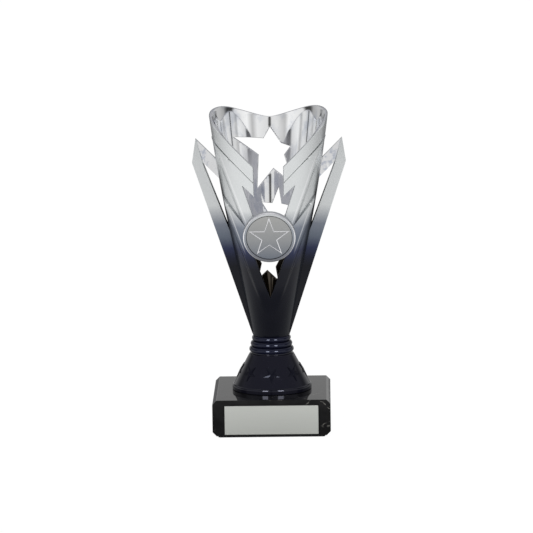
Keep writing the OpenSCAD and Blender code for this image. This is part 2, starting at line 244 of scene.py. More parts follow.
class StageSettings(bpy.types.PropertyGroup):
    azimuth: angle("Azimuth", "Camera's angle round the trophy", 1.0)
    elevation: angle("Elevation", "Camera's angle above the level", 9.31)
    roll: angle("Roll", "Camera's roll", -0.82)
    distance: length("Distance", "From the camera to its target", 1985)
    target_x: length("Target X", "The point that the camera looks at", -2.17)
    target_z: length("Target Z", "Height of that point", 89.4)
    lens: bpy.props.FloatProperty(
        name="Lens", description="Focal length", default=241.6, subtype="DISTANCE_CAMERA"
    )
    soft_box: bpy.props.FloatProperty(
        name="Soft box", description="Power of a soft box", default=11.0, subtype="POWER"
    )


# ---------------------------------------------------------------- shape helpers


def mm(metres):
    return metres / MM


def smooth_step(low, high, value):
    t = min(1, max(0, (value - low) / (high - low)))
    return t * t * (3 - 2 * t)


def ramp(low, high, value):
    return min(1, max(0, (value - low) / (high - low)))


def soft_min(values, blend):
    """The smallest of the values, rounded where two of them cross."""
    smallest = values[0]
    for value in values[1:]:
        reach = max(blend - abs(smallest - value), 0) / blend
        smallest = min(smallest, value) - reach * reach * blend / 4
    return smallest


def offset_from(point, start, end):
    """How far a front-view point lies to the left of the line from start to end."""
    run_x, run_z = end[0] - start[0], end[1] - start[1]
    size = math.hypot(run_x, run_z)
    return ((point[1] - start[1]) * run_x - (point[0] - start[0]) * run_z) / size


def shifted(line, left):
    """A front-view line moved sideways, to its left."""
    (ax, az), (bx, bz) = line
    size = math.hypot(bx - ax, bz - az)
    dx, dz = -(bz - az) / size * left, (bx - ax) / size * left
    return [(ax + dx, az + dz), (bx + dx, bz + dz)]


def mirrored(line):
    return [(-x, z) for x, z in line]


def inside(point, outline):
    """Whether a front-view point lies inside a closed outline."""
    hit = False
    for (ax, az), (bx, bz) in zip(outline, outline[1:] + outline[:1]):
        if (az > point[1]) != (bz > point[1]):
            if point[0] < (bx - ax) * (point[1] - az) / (bz - az) + ax:
                hit = not hit
    return hit


def rounded(outline, radii, steps=5, closed=True):
    """The outline with its corners turned into curves that start radii from the corner."""
    made = []
    count = len(outline)
    for i, point in enumerate(outline):
        radius = radii[i] if isinstance(radii, (list, tuple)) else radii
        ends = not closed and i in (0, count - 1)
        if radius <= 0 or ends:
            made.append(tuple(point))
            continue
        here = Vector(point)
        before = Vector(outline[i - 1]) - here
        after = Vector(outline[(i + 1) % count]) - here
        start = here + before.normalized() * min(radius, before.length * 0.48)
        end = here + after.normalized() * min(radius, after.length * 0.48)
        for k in range(steps + 1):
            t = k / steps
            made.append(tuple(start * (1 - t) ** 2 + here * 2 * t * (1 - t) + end * t * t))
    return made


def rounded_section(section, low=0.0, steps=5, closed=True):
    """An outline for revolve, from [radius, height above low, softness] corners."""
    outline = [(r, z) for r, z, _ in section]
    softness = [soft for _, _, soft in section]
    made = rounded(outline, softness, steps, closed)
    return [(r, z + low) for r, z in made]


def revolve(bm, outline, steps, closed=True):
    """Spins a [radius, height] outline once round the Z axis."""
    verts = [bm.verts.new((r, 0, z)) for r, z in outline]
    pairs = list(zip(verts, verts[1:]))
    if closed:
        pairs.append((verts[-1], verts[0]))
    edges = [bm.edges.new(pair) for pair in pairs]
    bmesh.ops.spin(
        bm,
        geom=verts + edges,
        cent=(0, 0, 0),
        axis=UP,
        angle=FULL_TURN,
        steps=steps,
        use_merge=True,
    )
    bmesh.ops.remove_doubles(bm, verts=bm.verts, dist=SAME_PLACE)
    bmesh.ops.recalc_face_normals(bm, faces=bm.faces)


def block(bm, low, high):
    """A box between two corners."""
    place = Matrix.LocRotScale((low + high) / 2, None, high - low)
    bmesh.ops.create_cube(bm, size=1, matrix=place)


def bevel(bm, edges, width, segments=2):
    bmesh.ops.bevel(
        bm,
        geom=edges,
        offset=width,
        offset_type="OFFSET",
        affect="EDGES",
        segments=segments,
        profile=0.5,
        material=-1,
        clamp_overlap=True,
    )


def edges_along(bm, axis, longer_than):
    """Edges that run along one axis, 0 to 2, and are longer than a length."""
    nearly_all = 0.999
    found = []
    for edge in bm.edges:
        run = edge.verts[1].co - edge.verts[0].co
        if abs(run[axis]) > max(longer_than, run.length * nearly_all):
            found.append(edge)
    return found


def sharp_edges(bm, degrees):
    limit = math.radians(degrees)
    return [e for e in bm.edges if e.is_manifold and e.calc_face_angle() > limit]


def star_points(radius):
    """A regular five-pointed star with one tip along +Y, as ten points."""
    waist = math.sin(FULL_TURN / 20) / math.sin(FULL_TURN * 3 / 20)
    points = []
    for i in range(10):
        turn = FULL_TURN * (1 / 4 + i / 10)
        reach = radius if i % 2 == 0 else radius * waist
        points.append(Vector((reach * math.cos(turn), reach * math.sin(turn), 0)))
    return points


def only(kind, geometry):
    """The vertices, edges or faces among the elements that an operator made."""
    return [element for element in geometry if isinstance(element, kind)]


def ring_edges(verts):
    return list({edge for vert in verts for edge in vert.link_edges})


def stack_rings(bm, rings, sides):
    """Joins rings into a closed tube. A ring gives (radius, height) for each angle."""
    loop = bmesh.ops.create_circle(bm, cap_ends=False, radius=1, segments=sides)["verts"]
    turns = [math.atan2(v.co.y, v.co.x) for v in loop]
    last_edges = ring_edges(loop)
    loops = [loop]
    for _ in rings[1:]:
        made = bmesh.ops.extrude_edge_only(bm, edges=last_edges)["geom"]
        fresh = set(only(BMVert, made))
        last_edges = [e for e in only(BMEdge, made) if fresh.issuperset(e.verts)]
        loop = [fresh.intersection(e.other_vert(v) for e in v.link_edges).pop() for v in loop]
        loops.append(loop)
    for ring, members in zip(rings, loops):
        for turn, vert in zip(turns, members):
            radius, height = ring(turn)
            vert.co = (radius * math.cos(turn), radius * math.sin(turn), height)
    first = set(loops[0])
    first_edges = [e for e in bm.edges if first.issuperset(e.verts)]
    bmesh.ops.bridge_loops(bm, edges=first_edges + last_edges)
    bmesh.ops.recalc_face_normals(bm, faces=bm.faces)


def finish_piece(name, bm, node, finishes, smooth=38):
    """Makes the piece's object, in metres at the origin, and ties it to the frame.

    Edges sharper than smooth, in degrees, stay crisp.
    """
    bmesh.ops.scale(bm, vec=(MM, MM, MM), verts=bm.verts)
    mesh = bpy.data.meshes.new(name)
    bm.to_mesh(mesh)
    bm.free()
    for finish in finishes:
        mesh.materials.append(finish_of(finish))
    mesh.shade_smooth()
    mesh.set_sharp_from_angle(angle=math.radians(smooth))
    piece = bpy.data.objects.new(name, mesh)
    flats = piece.modifiers.new("flat_faces", "WEIGHTED_NORMAL")
    flats.keep_sharp = True
    bpy.context.scene.collection.objects.link(piece)
    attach(piece, "root")
    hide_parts(node)


def paint_node(node, finish):
    """Gives a CAD node that stays in view its material."""
    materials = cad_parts[node].data.materials
    materials.clear()
    materials.append(finish_of(finish))


# ---------------------------------------------------------------- shader helpers


def add(tree, kind, inputs=None, **settings):
    """A new shader node. An input is either a value or another node's output."""
    node = tree.nodes.new(kind)
    for key, value in settings.items():
        setattr(node, key, value)
    for key, value in (inputs or {}).items():
        socket = node.inputs[key]
        if isinstance(value, bpy.types.NodeSocket):
            tree.links.new(value, socket)
        else:
            socket.default_value = value
    return node


def maths(tree, operation, *values, clamp=False):
    inputs = dict(enumerate(values))
    node = add(tree, "ShaderNodeMath", inputs, operation=operation, use_clamp=clamp)
    return node.outputs[0]


def map_range(tree, value, low, high, to_low=0.0, to_high=1.0, smooth=False):
    kind = "SMOOTHSTEP" if smooth else "LINEAR"
    inputs = {0: value, 1: low, 2: high, 3: to_low, 4: to_high}
    return add(tree, "ShaderNodeMapRange", inputs, interpolation_type=kind).outputs[0]


def blend(tree, amount, first, second):
    """A colour between two colours."""
    node = tree.nodes.new("ShaderNodeMix")
    node.data_type = "RGBA"
    for key, value in ((0, amount), (6, first), (7, second)):
        if isinstance(value, bpy.types.NodeSocket):
            tree.links.new(value, node.inputs[key])
        else:
            node.inputs[key].default_value = value
    return node.outputs[2]


def colour_ramp(tree, value, stops):
    """A ramp through [position, colour] stops."""
    node = add(tree, "ShaderNodeValToRGB", {0: value})
    elements = node.color_ramp.elements
    while len(elements) < len(stops):
        elements.new(1)
    for element, (position, tone) in zip(elements, stops):
        element.position = position
        element.color = full(tone)
    return node.outputs[0]


def full(tone):
    """A colour with its alpha, from a colour or a single grey value."""
    if isinstance(tone, (int, float)):
        return (tone, tone, tone, 1)
    return (*tone, 1)


def new_group(name, inputs, outputs):
    """A shader node group with number inputs and outputs, and its two end nodes."""
    tree = bpy.data.node_groups.new(name, "ShaderNodeTree")
    for key, value in inputs.items():
        socket = tree.interface.new_socket(key, in_out="INPUT", socket_type="NodeSocketFloat")
        socket.default_value = value
    for key in outputs:
        tree.interface.new_socket(key, in_out="OUTPUT", socket_type="NodeSocketFloat")
    return tree, tree.nodes.new("NodeGroupInput"), tree.nodes.new("NodeGroupOutput")


def place_group(tree, name, **inputs):
    node = tree.nodes.new("ShaderNodeGroup")
    node.node_tree = bpy.data.node_groups[name]
    for key, value in inputs.items():
        node.inputs[key.replace("_", " ").capitalize()].default_value = value
    return node


def coordinates(tree):
    return add(tree, "ShaderNodeTexCoord").outputs["Object"]


def parts_of(tree, vector):
    """The X, Y and Z of a vector, as outputs by name."""
    return add(tree, "ShaderNodeSeparateXYZ", {0: vector}).outputs


def noise(tree, place, scale, detail, **more):
    """Soft noise between 0 and 1 at a place."""
    inputs = {"Vector": place, "Scale": scale, "Detail": detail, **more}
    return add(tree, "ShaderNodeTexNoise", inputs).outputs[0]


def join_vectors(tree, operation, first, second):
    inputs = {0: first, 1: second}
    return add(tree, "ShaderNodeVectorMath", inputs, operation=operation).outputs[0]


def swing(tree, value, amount):
    """A noise value turned into a swing of that size on both sides of zero."""
    return maths(tree, "MULTIPLY", maths(tree, "SUBTRACT", value, 0.5), amount)


def scaled(tone, times, lift=0.0):
    """A colour made lighter or darker."""
    return tuple(channel * times + lift for channel in tone)


def make_fade_group():
    """Fade by height: how far up a piece a point lies, with the speckle of a spray gun. It sets
    the sprayed fade of the satin, the medal's darker lower edge and the painted shade low inside
    the cup.
    """
    values = {"Low": 0.09, "High": 0.126, "Drift": 0.03, "Speckle": 0.05}
    tree, given, result = new_group("Spray fade", values, ["Level"])
    place = coordinates(tree)
    height = parts_of(tree, place)["Z"]
    level = map_range(tree, height, given.outputs["Low"], given.outputs["High"])
    cloud = noise(tree, place, 70.0, 2.0)
    specks = noise(tree, place, 2600.0, 1.0)
    level = maths(tree, "ADD", level, swing(tree, cloud, given.outputs["Drift"]))
    spray = swing(tree, specks, given.outputs["Speckle"])
    level = maths(tree, "ADD", level, spray, clamp=True)
    tree.links.new(level, result.inputs["Level"])


def make_grain_group():
    """Satin grain: fine bumps and a slow change of sheen."""
    values = {"Scale": 1500.0, "Patch": 60.0}
    tree, given, result = new_group("Satin grain", values, ["Height", "Sheen"])
    place = coordinates(tree)
    fine = noise(tree, place, given.outputs["Scale"], 3.0, Roughness=0.6)
    slow = noise(tree, place, given.outputs["Patch"], 4.0, Roughness=0.55)
    tree.links.new(fine, result.inputs["Height"])
    tree.links.new(slow, result.inputs["Sheen"])


def make_ripple_group():
    """Moulding ripple: the slow waves of a moulded and metallised wall."""
    values = {"Scale": 40.0, "Stretch": 0.25}
    tree, given, result = new_group("Moulding ripple", values, ["Height"])
    parts = parts_of(tree, coordinates(tree))
    flat = maths(tree, "MULTIPLY", parts["Z"], given.outputs["Stretch"])
    spread = {"X": parts["X"], "Y": parts["Y"], "Z": flat}
    vector = add(tree, "ShaderNodeCombineXYZ", spread).outputs[0]
    waves = noise(tree, vector, given.outputs["Scale"], 1.5)
    tree.links.new(waves, result.inputs["Height"])


def make_marks_group():
    """Handling: sparse specks and faint smears, as a mask."""
    values = {"Scale": 900.0, "Specks": 0.12, "Smears": 0.3}
    tree, given, result = new_group("Handling marks", values, ["Mask"])
    place = coordinates(tree)
    inputs = {"Vector": place, "Scale": given.outputs["Scale"], "Randomness": 1.0}
    cells = add(tree, "ShaderNodeTexVoronoi", inputs).outputs["Distance"]
    specks = maths(tree, "LESS_THAN", cells, given.outputs["Specks"])
    smear = noise(tree, place, 45.0, 3.0, Distortion=1.2)
    smear = map_range(tree, smear, 0.55, 0.8, smooth=True)
    smear = maths(tree, "MULTIPLY", smear, given.outputs["Smears"])
    mask = maths(tree, "ADD", specks, smear, clamp=True)
    tree.links.new(mask, result.inputs["Mask"])


def make_groups():
    make_fade_group()
    make_grain_group()
    make_ripple_group()
    make_marks_group()


def new_material(name, **values):
    """A material whose Principled shader has these plain values."""
    material = bpy.data.materials.new(name)
    material.use_nodes = True
    shader = material.node_tree.nodes["Principled BSDF"]
    for key, value in values.items():
        socket = shader.inputs[key.replace("_", " ")]
        socket.default_value = full(value) if key == "Base_Color" else value
    return material, material.node_tree, shader


def wire(tree, shader, **values):
    """Links outputs to the shader's inputs, such as Base_Color or Roughness."""
    for key, value in values.items():
        tree.links.new(value, shader.inputs[key.replace("_", " ")])


def bump(tree, shader, height, distance):
    """Bumps the surface by a height between 0 and 1, over a distance in millimetres."""
    inputs = {"Height": height, "Distance": distance * MM, "Strength": 1.0}
    wire(tree, shader, Normal=add(tree, "ShaderNodeBump", inputs).outputs[0])


def worn(tree, shader, mask, low, high):
    """Makes the surface rougher where it was handled."""
    wire(tree, shader, Roughness=map_range(tree, mask, 0.0, 1.0, low, high))


def grained(tree, shader, scale, patch, low, high, height):
    """A satin grain whose roughness drifts from low to high. Returns its sheen."""
    grain = place_group(tree, "Satin grain", scale=scale, patch=patch)
    sheen = grain.outputs["Sheen"]
    wire(tree, shader, Roughness=map_range(tree, sheen, 0.3, 0.7, low, high))
    bump(tree, shader, grain.outputs["Height"], height)
    return sheen


def fade_stops(f, lift):
    """The spray fade's colours from its lower end to its upper end."""
    silver = Vector(f.silver)
    night, dusk = Vector(f.night), Vector(f.dusk)
    tones = [night, night.lerp(dusk, 0.3), dusk, Vector(f.slate), Vector(f.steel)]
    tones = [tuple(tone.lerp(silver, lift)) for tone in tones] + [f.silver]
    return list(zip((0.0, 0.14, 0.29, 0.46, 0.66, 0.95), tones))


def paint_wing_shade(tree, tone):
    """Paints shade on the wall beside the wings: a darker tone where the wings shade the cup."""
    parts = parts_of(tree, coordinates(tree))
    aside = maths(tree, "ABSOLUTE", parts["Y"])
    beside = map_range(tree, aside, 0.0055, 0.0120, 1.0, 0.0, smooth=True)
    below = map_range(tree, parts["Z"], 0.128, 0.152, 1.0, 0.25, smooth=True)
    shade_amount = maths(tree, "MULTIPLY", beside, below)
    return blend(tree, shade_amount, tone, full((0.018, 0.020, 0.026)))


def along_line(tree, line, width):
    """A mask along a front-view line on both sides of the cup."""
    (ax, az), (bx, bz) = [(x * MM, (h + CUP_LOW.z) * MM) for x, h in line]
    size = math.hypot(bx - ax, bz - az)
    parts = parts_of(tree, coordinates(tree))
    side = maths(tree, "ABSOLUTE", parts["X"])
    run = maths(tree, "MULTIPLY", maths(tree, "SUBTRACT", side, ax), (bz - az) / size)
    climb = maths(tree, "SUBTRACT", parts["Z"], az)
    climb = maths(tree, "MULTIPLY", climb, (bx - ax) / size)
    gap = maths(tree, "ABSOLUTE", maths(tree, "SUBTRACT", run, climb))
    line_mask = map_range(tree, gap, 0.0, width * MM, 1.0, 0.0, smooth=True)
    low, high = sorted((az, bz))
    fade = 0.004
    below = map_range(tree, parts["Z"], high - fade, high, 1.0, 0.0)
    above = map_range(tree, parts["Z"], low, low + fade)
    front = maths(tree, "LESS_THAN", parts["Y"], 0.0)
    ends = maths(tree, "MULTIPLY", maths(tree, "MULTIPLY", below, above), front)
    return maths(tree, "MULTIPLY", line_mask, ends)


def paint_crease_highlights(tree, tone, level):
    """Paints highlights along the folds of the blades: a lighter tone where light catches the
    creases.
    """
    upper = along_line(tree, UPPER_RIDGE, 0.55)
    lower = along_line(tree, LOWER_RIDGE[:2], 0.45)
    creases = maths(tree, "ADD", upper, lower, clamp=True)
    creases = maths(tree, "MULTIPLY", creases, map_range(tree, level, 0.1, 0.6, 0.08, 0.5))
    return blend(tree, creases, tone, full((0.96, 0.96, 0.97)))


def satin_fade(f, name, lift=0.0, on_cup=False):
    """Sprayed satin: silver high on the cup, through steel blue to navy black."""
    material, tree, shader = new_material(
        name, Metallic=0.8, Roughness=0.4, Specular_IOR_Level=0.2
    )
    fade = place_group(tree, "Spray fade", low=f.fade_low, high=f.fade_high)
    level = fade.outputs["Level"]
    tone = colour_ramp(tree, level, fade_stops(f, lift))
    # On the cup: painted highlights along the blades' creases, then painted shade beside the
    # wings.
    if on_cup:
        tone = paint_wing_shade(tree, paint_crease_highlights(tree, tone, level))
    metal = map_range(tree, level, 0.05, 0.55, 0.0, 0.85)
    grain = place_group(tree, "Satin grain", scale=1700.0, patch=55.0)
    gloss = map_range(tree, level, 0.0, 0.5, 0.2, 0.4)
    sheen = map_range(tree, grain.outputs["Sheen"], 0.3, 0.7, -0.03, 0.03)
    rough = maths(tree, "ADD", gloss, sheen)
    wire(tree, shader, Base_Color=tone, Metallic=metal, Roughness=rough)
    bump(tree, shader, grain.outputs["Height"], 0.012)
    return material


def mirror_chrome(f, name, ripple=0.35, scale=40.0, patch=110.0, painted_reflection=0.35):
    """Bright vacuum-metallised inside, with painted shade darkening it towards the cup's floor
    and clouds of painted blue-grey reflection.
    """
    material, tree, shader = new_material(name, Metallic=1.0, Roughness=0.06)
    # Painted shade: the chrome darkens towards the floor of the cup.
    fade = place_group(tree, "Spray fade", low=0.092, high=0.104, drift=0.25, speckle=0.05)
    stops = [(0.0, f.inner_shade), (0.45, (0.30, 0.29, 0.27)), (1.0, f.chrome)]
    tone = colour_ramp(tree, fade.outputs["Level"], stops)
    # Painted reflections: clouds of blue-grey in the colour, as if the chrome mirrored a darker
    # room.
    cloud = place_group(tree, "Satin grain", scale=1500.0, patch=patch)
    reflection_amount = map_range(tree, cloud.outputs["Sheen"], 0.50, 0.68, 0.0, painted_reflection, smooth=True)
    steel = join_vectors(tree, "MULTIPLY", tone, (0.50, 0.55, 0.66))
    wire(tree, shader, Base_Color=blend(tree, reflection_amount, tone, steel))
    marks = place_group(tree, "Handling marks", scale=700.0, specks=0.1, smears=0.25)
    worn(tree, shader, marks.outputs["Mask"], 0.05, 0.16)
    waves = place_group(tree, "Moulding ripple", scale=scale, stretch=0.2)
    bump(tree, shader, waves.outputs["Height"], ripple)
    return material


def gloss_plastic(f, name, tone, shine=0.34, sheen=(0.72, 0.78, 1.0)):
    """Gloss moulded plastic with a faint ripple and handling marks."""
    tone = getattr(f, tone)
    material, tree, shader = new_material(
        name, Base_Color=tone, Roughness=0.08, Specular_IOR_Level=shine
    )
    shader.inputs["Specular Tint"].default_value = full(sheen)
    marks = place_group(tree, "Handling marks", scale=650.0, specks=0.09, smears=0.4)
    mask = marks.outputs["Mask"]
    lighter = scaled(tone, 2.2, lift=0.004)
    wire(tree, shader, Base_Color=blend(tree, mask, full(tone), full(lighter)))
    worn(tree, shader, mask, 0.07, 0.2)
    waves = place_group(tree, "Moulding ripple", scale=130.0, stretch=0.6)
    bump(tree, shader, waves.outputs["Height"], 0.04)
    return material


def marble_veins(tree, place, bent):
    """A mask of thin broken veins that keep to a few patches of the stone."""
    inputs = {"Vector": bent, "Scale": 48.0, "Randomness": 1.0}
    cells = add(tree, "ShaderNodeTexVoronoi", inputs, feature="DISTANCE_TO_EDGE")
    line = map_range(tree, cells.outputs["Distance"], 0.0, 0.022, 1.0, 0.0, smooth=True)
    patches = map_range(tree, noise(tree, place, 38.0, 3.0), 0.48, 0.64, smooth=True)
    breaks = map_range(tree, noise(tree, place, 420.0, 2.0), 0.40, 0.62, smooth=True)
    return maths(tree, "MULTIPLY", line, maths(tree, "MULTIPLY", patches, breaks))


def black_marble(f, name):
    """Polished black marble with cloudy patches and a few fine white veins."""
    material, tree, shader = new_material(name, Roughness=0.06, Specular_IOR_Level=0.17)
    place = coordinates(tree)
    inputs = {"Vector": place, "Scale": 55.0, "Detail": 5.0}
    warp = add(tree, "ShaderNodeTexNoise", inputs).outputs["Color"]
    bend = join_vectors(tree, "MULTIPLY", warp, (0.028, 0.028, 0.028))
    bent = join_vectors(tree, "ADD", place, bend)
    cloud = map_range(tree, noise(tree, bent, 120.0, 6.0), 0.35, 0.75)
    body = blend(tree, cloud, full(f.marble), full(scaled(f.marble, 2.4)))
    veins = marble_veins(tree, place, bent)
    wire(tree, shader, Base_Color=blend(tree, veins, body, full(f.vein)))
    marks = place_group(tree, "Handling marks", scale=500.0, specks=0.1, smears=0.3)
    worn(tree, shader, marks.outputs["Mask"], 0.05, 0.15)
    waves = place_group(tree, "Moulding ripple", scale=150.0, stretch=1.0)
    bump(tree, shader, waves.outputs["Height"], 0.01)
    return material


def satin_plate(f, name):
    """Lacquered aluminium with a fine level brush line."""
    material, tree, shader = new_material(
        name, Base_Color=f.aluminium, Metallic=0.75, Roughness=0.42
    )
    inputs = {"Vector": coordinates(tree), "Scale": (60.0, 60.0, 5200.0)}
    stretched = add(tree, "ShaderNodeMapping", inputs).outputs[0]
    lines = noise(tree, stretched, 1.0, 3.0)
    tone = blend(tree, lines, full(scaled(f.aluminium, 0.93)), full(f.aluminium))
    rough = map_range(tree, lines, 0.3, 0.7, 0.38, 0.46)
    wire(tree, shader, Base_Color=tone, Roughness=rough)
    bump(tree, shader, lines, 0.004)
    return material


def medal_face(f, name):
    """Satin medal, darker and bluer towards its lower edge."""
    material, tree, shader = new_material(name, Metallic=0.85, Roughness=0.34)
    fade = place_group(tree, "Spray fade", low=0.094, high=0.126, drift=0.04, speckle=0.06)
    tint = Vector(f.slate).lerp(Vector(f.medal), 0.12)
    middle = tint.lerp(Vector(f.medal), 0.65)
    stops = [(0.1, tuple(tint)), (0.45, tuple(middle)), (0.85, f.medal)]
    wire(tree, shader, Base_Color=colour_ramp(tree, fade.outputs["Level"], stops))
    grained(tree, shader, 2200.0, 80.0, 0.30, 0.38, 0.010)
    return material


def bright_line(_, name):
    """Burnished top of the medal's star outline."""
    material, tree, shader = new_material(
        name, Base_Color=(0.90, 0.90, 0.92), Metallic=0.9, Roughness=0.3
    )
    grained(tree, shader, 2500.0, 200.0, 0.22, 0.30, 0.004)
    return material


def zinc_plate(f, name):
    """Bright zinc plating with a cloudy passivation."""
    material, tree, shader = new_material(name, Metallic=1.0, Roughness=0.3)
    sheen = grained(tree, shader, 900.0, 260.0, 0.22, 0.42, 0.008)
    warm = tuple(channel * times for channel, times in zip(f.zinc, (1.0, 0.95, 0.82)))
    wire(tree, shader, Base_Color=blend(tree, sheen, full(f.zinc), full(warm)))
    return material


def needled_felt(f, name):
    """Matted felt: short crossed fibres with a soft sheen."""
    material, tree, shader = new_material(
        name, Base_Color=f.felt, Roughness=0.95, Sheen_Weight=0.35
    )
    tufts = noise(tree, coordinates(tree), 1400.0, 6.0)
    tone = blend(tree, tufts, full(f.felt), full(scaled(f.felt, 2.8)))
    wire(tree, shader, Base_Color=tone)
    bump(tree, shader, tufts, 0.2)
    return material


def adhesive_film(f, name):
    """Cloudy double-sided film."""
    material, tree, shader = new_material(name, Base_Color=f.film, Roughness=0.5)
    grain = place_group(tree, "Satin grain", scale=700.0, patch=150.0)
    darker = scaled(f.film, 0.82)
    tone = blend(tree, grain.outputs["Sheen"], full(darker), full(f.film))
    wire(tree, shader, Base_Color=tone)
    bump(tree, shader, grain.outputs["Height"], 0.02)
    return material


# Each finish: the function that makes it, and what sets it apart from its plain form.
MAKERS = {
    "satin_silver_to_navy": (satin_fade, {}),
    # satin_cup adds painted highlights on the blade creases and painted shade beside the wings.
    "satin_cup": (satin_fade, {"on_cup": True}),
    "satin_holder": (satin_fade, {"lift": 0.28}),
    "mirror_chrome": (mirror_chrome, {}),
    # The bridge: stronger clouds of painted reflection.
    "mirror_bridge": (
        mirror_chrome, {"ripple": 1.1, "scale": 260.0, "patch": 300.0, "painted_reflection": 0.7}
    ),
    "gloss_black": (gloss_plastic, {"tone": "black", "shine": 0.27, "sheen": (0.80, 0.82, 1.0)}),
    # The stars' finish: the gloss black reflecting less, painted shade that darkens them.
    "deep_black": (gloss_plastic, {"tone": "black", "shine": 0.12}),
    "gloss_navy": (gloss_plastic, {"tone": "navy"}),
    "black_marble": (black_marble, {}),
    "satin_plate": (satin_plate, {}),
    "satin_medal": (medal_face, {}),
    "burnished_line": (bright_line, {}),
    "zinc_plating": (zinc_plate, {}),
    "needled_felt": (needled_felt, {}),
    "adhesive_film": (adhesive_film, {}),
}


def finish_of(name):
    """A material by its name, made when it is first asked for."""
    made = bpy.data.materials.get(name)
    if made:
        return made
    maker, changes = MAKERS[name]
    return maker(bpy.context.scene.trophy_finishes, name, **changes)


# ---------------------------------------------------------------- base

# Edges of a block bend by more degrees than this: with its chamfers, or square ones only.
CHAMFERED = 20
SQUARE = 60
HOLE_SIDES = 64


def drilled_block(bm, s):
    """The marble block with chamfers, polished edges, a recess and a bore."""
    block(bm, BASE_LOW, BASE_HIGH)
    size = BASE_HIGH - BASE_LOW
    bevel(bm, edges_along(bm, 1, size.y / 2), mm(s.chamfer), segments=1)
    bevel(bm, sharp_edges(bm, CHAMFERED), mm(s.edge), segments=3)
    z0, z1 = BASE_LOW.z, BASE_HIGH.z
    roof = z0 + mm(s.recess_depth)
    mouth = open_hole(bm, z0, mm(s.recess))
    wall = bmesh.ops.extrude_edge_only(bm, edges=mouth)["geom"]
    bmesh.ops.translate(bm, vec=UP * (roof - z0), verts=only(BMVert, wall))
    rim_edges = [edge for edge in only(BMEdge, wall) if edge.is_boundary]
    bore_edges = circle(bm, roof, mm(s.bore))
    bmesh.ops.bridge_loops(bm, edges=rim_edges + bore_edges)
    top = open_hole(bm, z1, mm(s.bore))
    bmesh.ops.bridge_loops(bm, edges=bore_edges + top)
    bmesh.ops.recalc_face_normals(bm, faces=bm.faces)


def circle(bm, height, radius):
    """The edges of a level circle round the Z axis."""
    place = Matrix.Translation((0, 0, height))
    made = bmesh.ops.create_circle(bm, radius=radius, segments=HOLE_SIDES, matrix=place)
    return ring_edges(made["verts"])


def open_hole(bm, height, radius):
    """Opens a round hole in the level face at that height and returns its edges."""
    face = max(
        (f for f in bm.faces if abs(f.calc_center_median().z - height) < SAME_PLACE),
        key=lambda f: f.calc_area(),
    )
    border = list(face.edges)
    bmesh.ops.delete(bm, geom=[face], context="FACES_ONLY")
    edges = circle(bm, height, radius)
    bmesh.ops.triangle_fill(bm, edges=border + edges, use_beauty=True, normal=UP)
    return edges


def make_base(s):
    bm = bmesh.new()
    drilled_block(bm, s)
    finish_piece("marble_block", bm, "marble_base", ["black_marble"])

    bm = bmesh.new()
    block(bm, FELT_LOW, FELT_HIGH)
    bevel(bm, edges_along(bm, 2, 0.1), mm(s.felt_corner), segments=5)
    bevel(bm, sharp_edges(bm, SQUARE), mm(s.felt_edge))
    finish_piece("felt_pad", bm, "felt_sheet", ["needled_felt"])

    bm = bmesh.new()
    block(bm, PLATE_LOW, PLATE_HIGH)
    bevel(bm, edges_along(bm, 1, 0.1), mm(s.plate_corner), segments=4)
    front = PLATE_LOW.y + SAME_PLACE
    face_edges = [e for e in sharp_edges(bm, SQUARE) if all(v.co.y < front for v in e.verts)]
    bevel(bm, face_edges, mm(s.plate_edge))
    finish_piece("name_plate", bm, "engraving_plate", ["satin_plate"])
    for node in ("plate_tape", "medal_tape"):
        paint_node(node, "adhesive_film")


# ---------------------------------------------------------------- riser and collar


def riser_outline(s):
    """Half of the riser's section, from its foot over the skirt to the bore and back."""
    flange_r, flange = RISER_HIGH.x, mm(s.flange)
    height = RISER_HIGH.z - RISER_LOW.z
    skirt_r, neck_r = mm(s.skirt_top), mm(s.neck)
    neck = height - mm(s.neck_height)
    hollow_r = flange_r - mm(s.wall) - mm(s.foot_wall)
    roof = height - mm(s.roof)
    bore_r = mm(bpy.context.scene.trophy_base.bore)
    section = [
        (hollow_r, 0, 0.2), (flange_r, 0, 0.5), (flange_r, flange, 1.1),
        (flange_r - mm(s.ledge), flange + mm(s.ledge_rise), 0.25),
        (skirt_r, neck, 0.7), (neck_r, neck, 0.1), (neck_r, height, 0.1),
        (bore_r, height, 0), (bore_r, roof, 0), (skirt_r - mm(s.wall), roof, 0.3),
        (hollow_r, flange, 0.3),
    ]
    return rounded_section(section, RISER_LOW.z, steps=8)


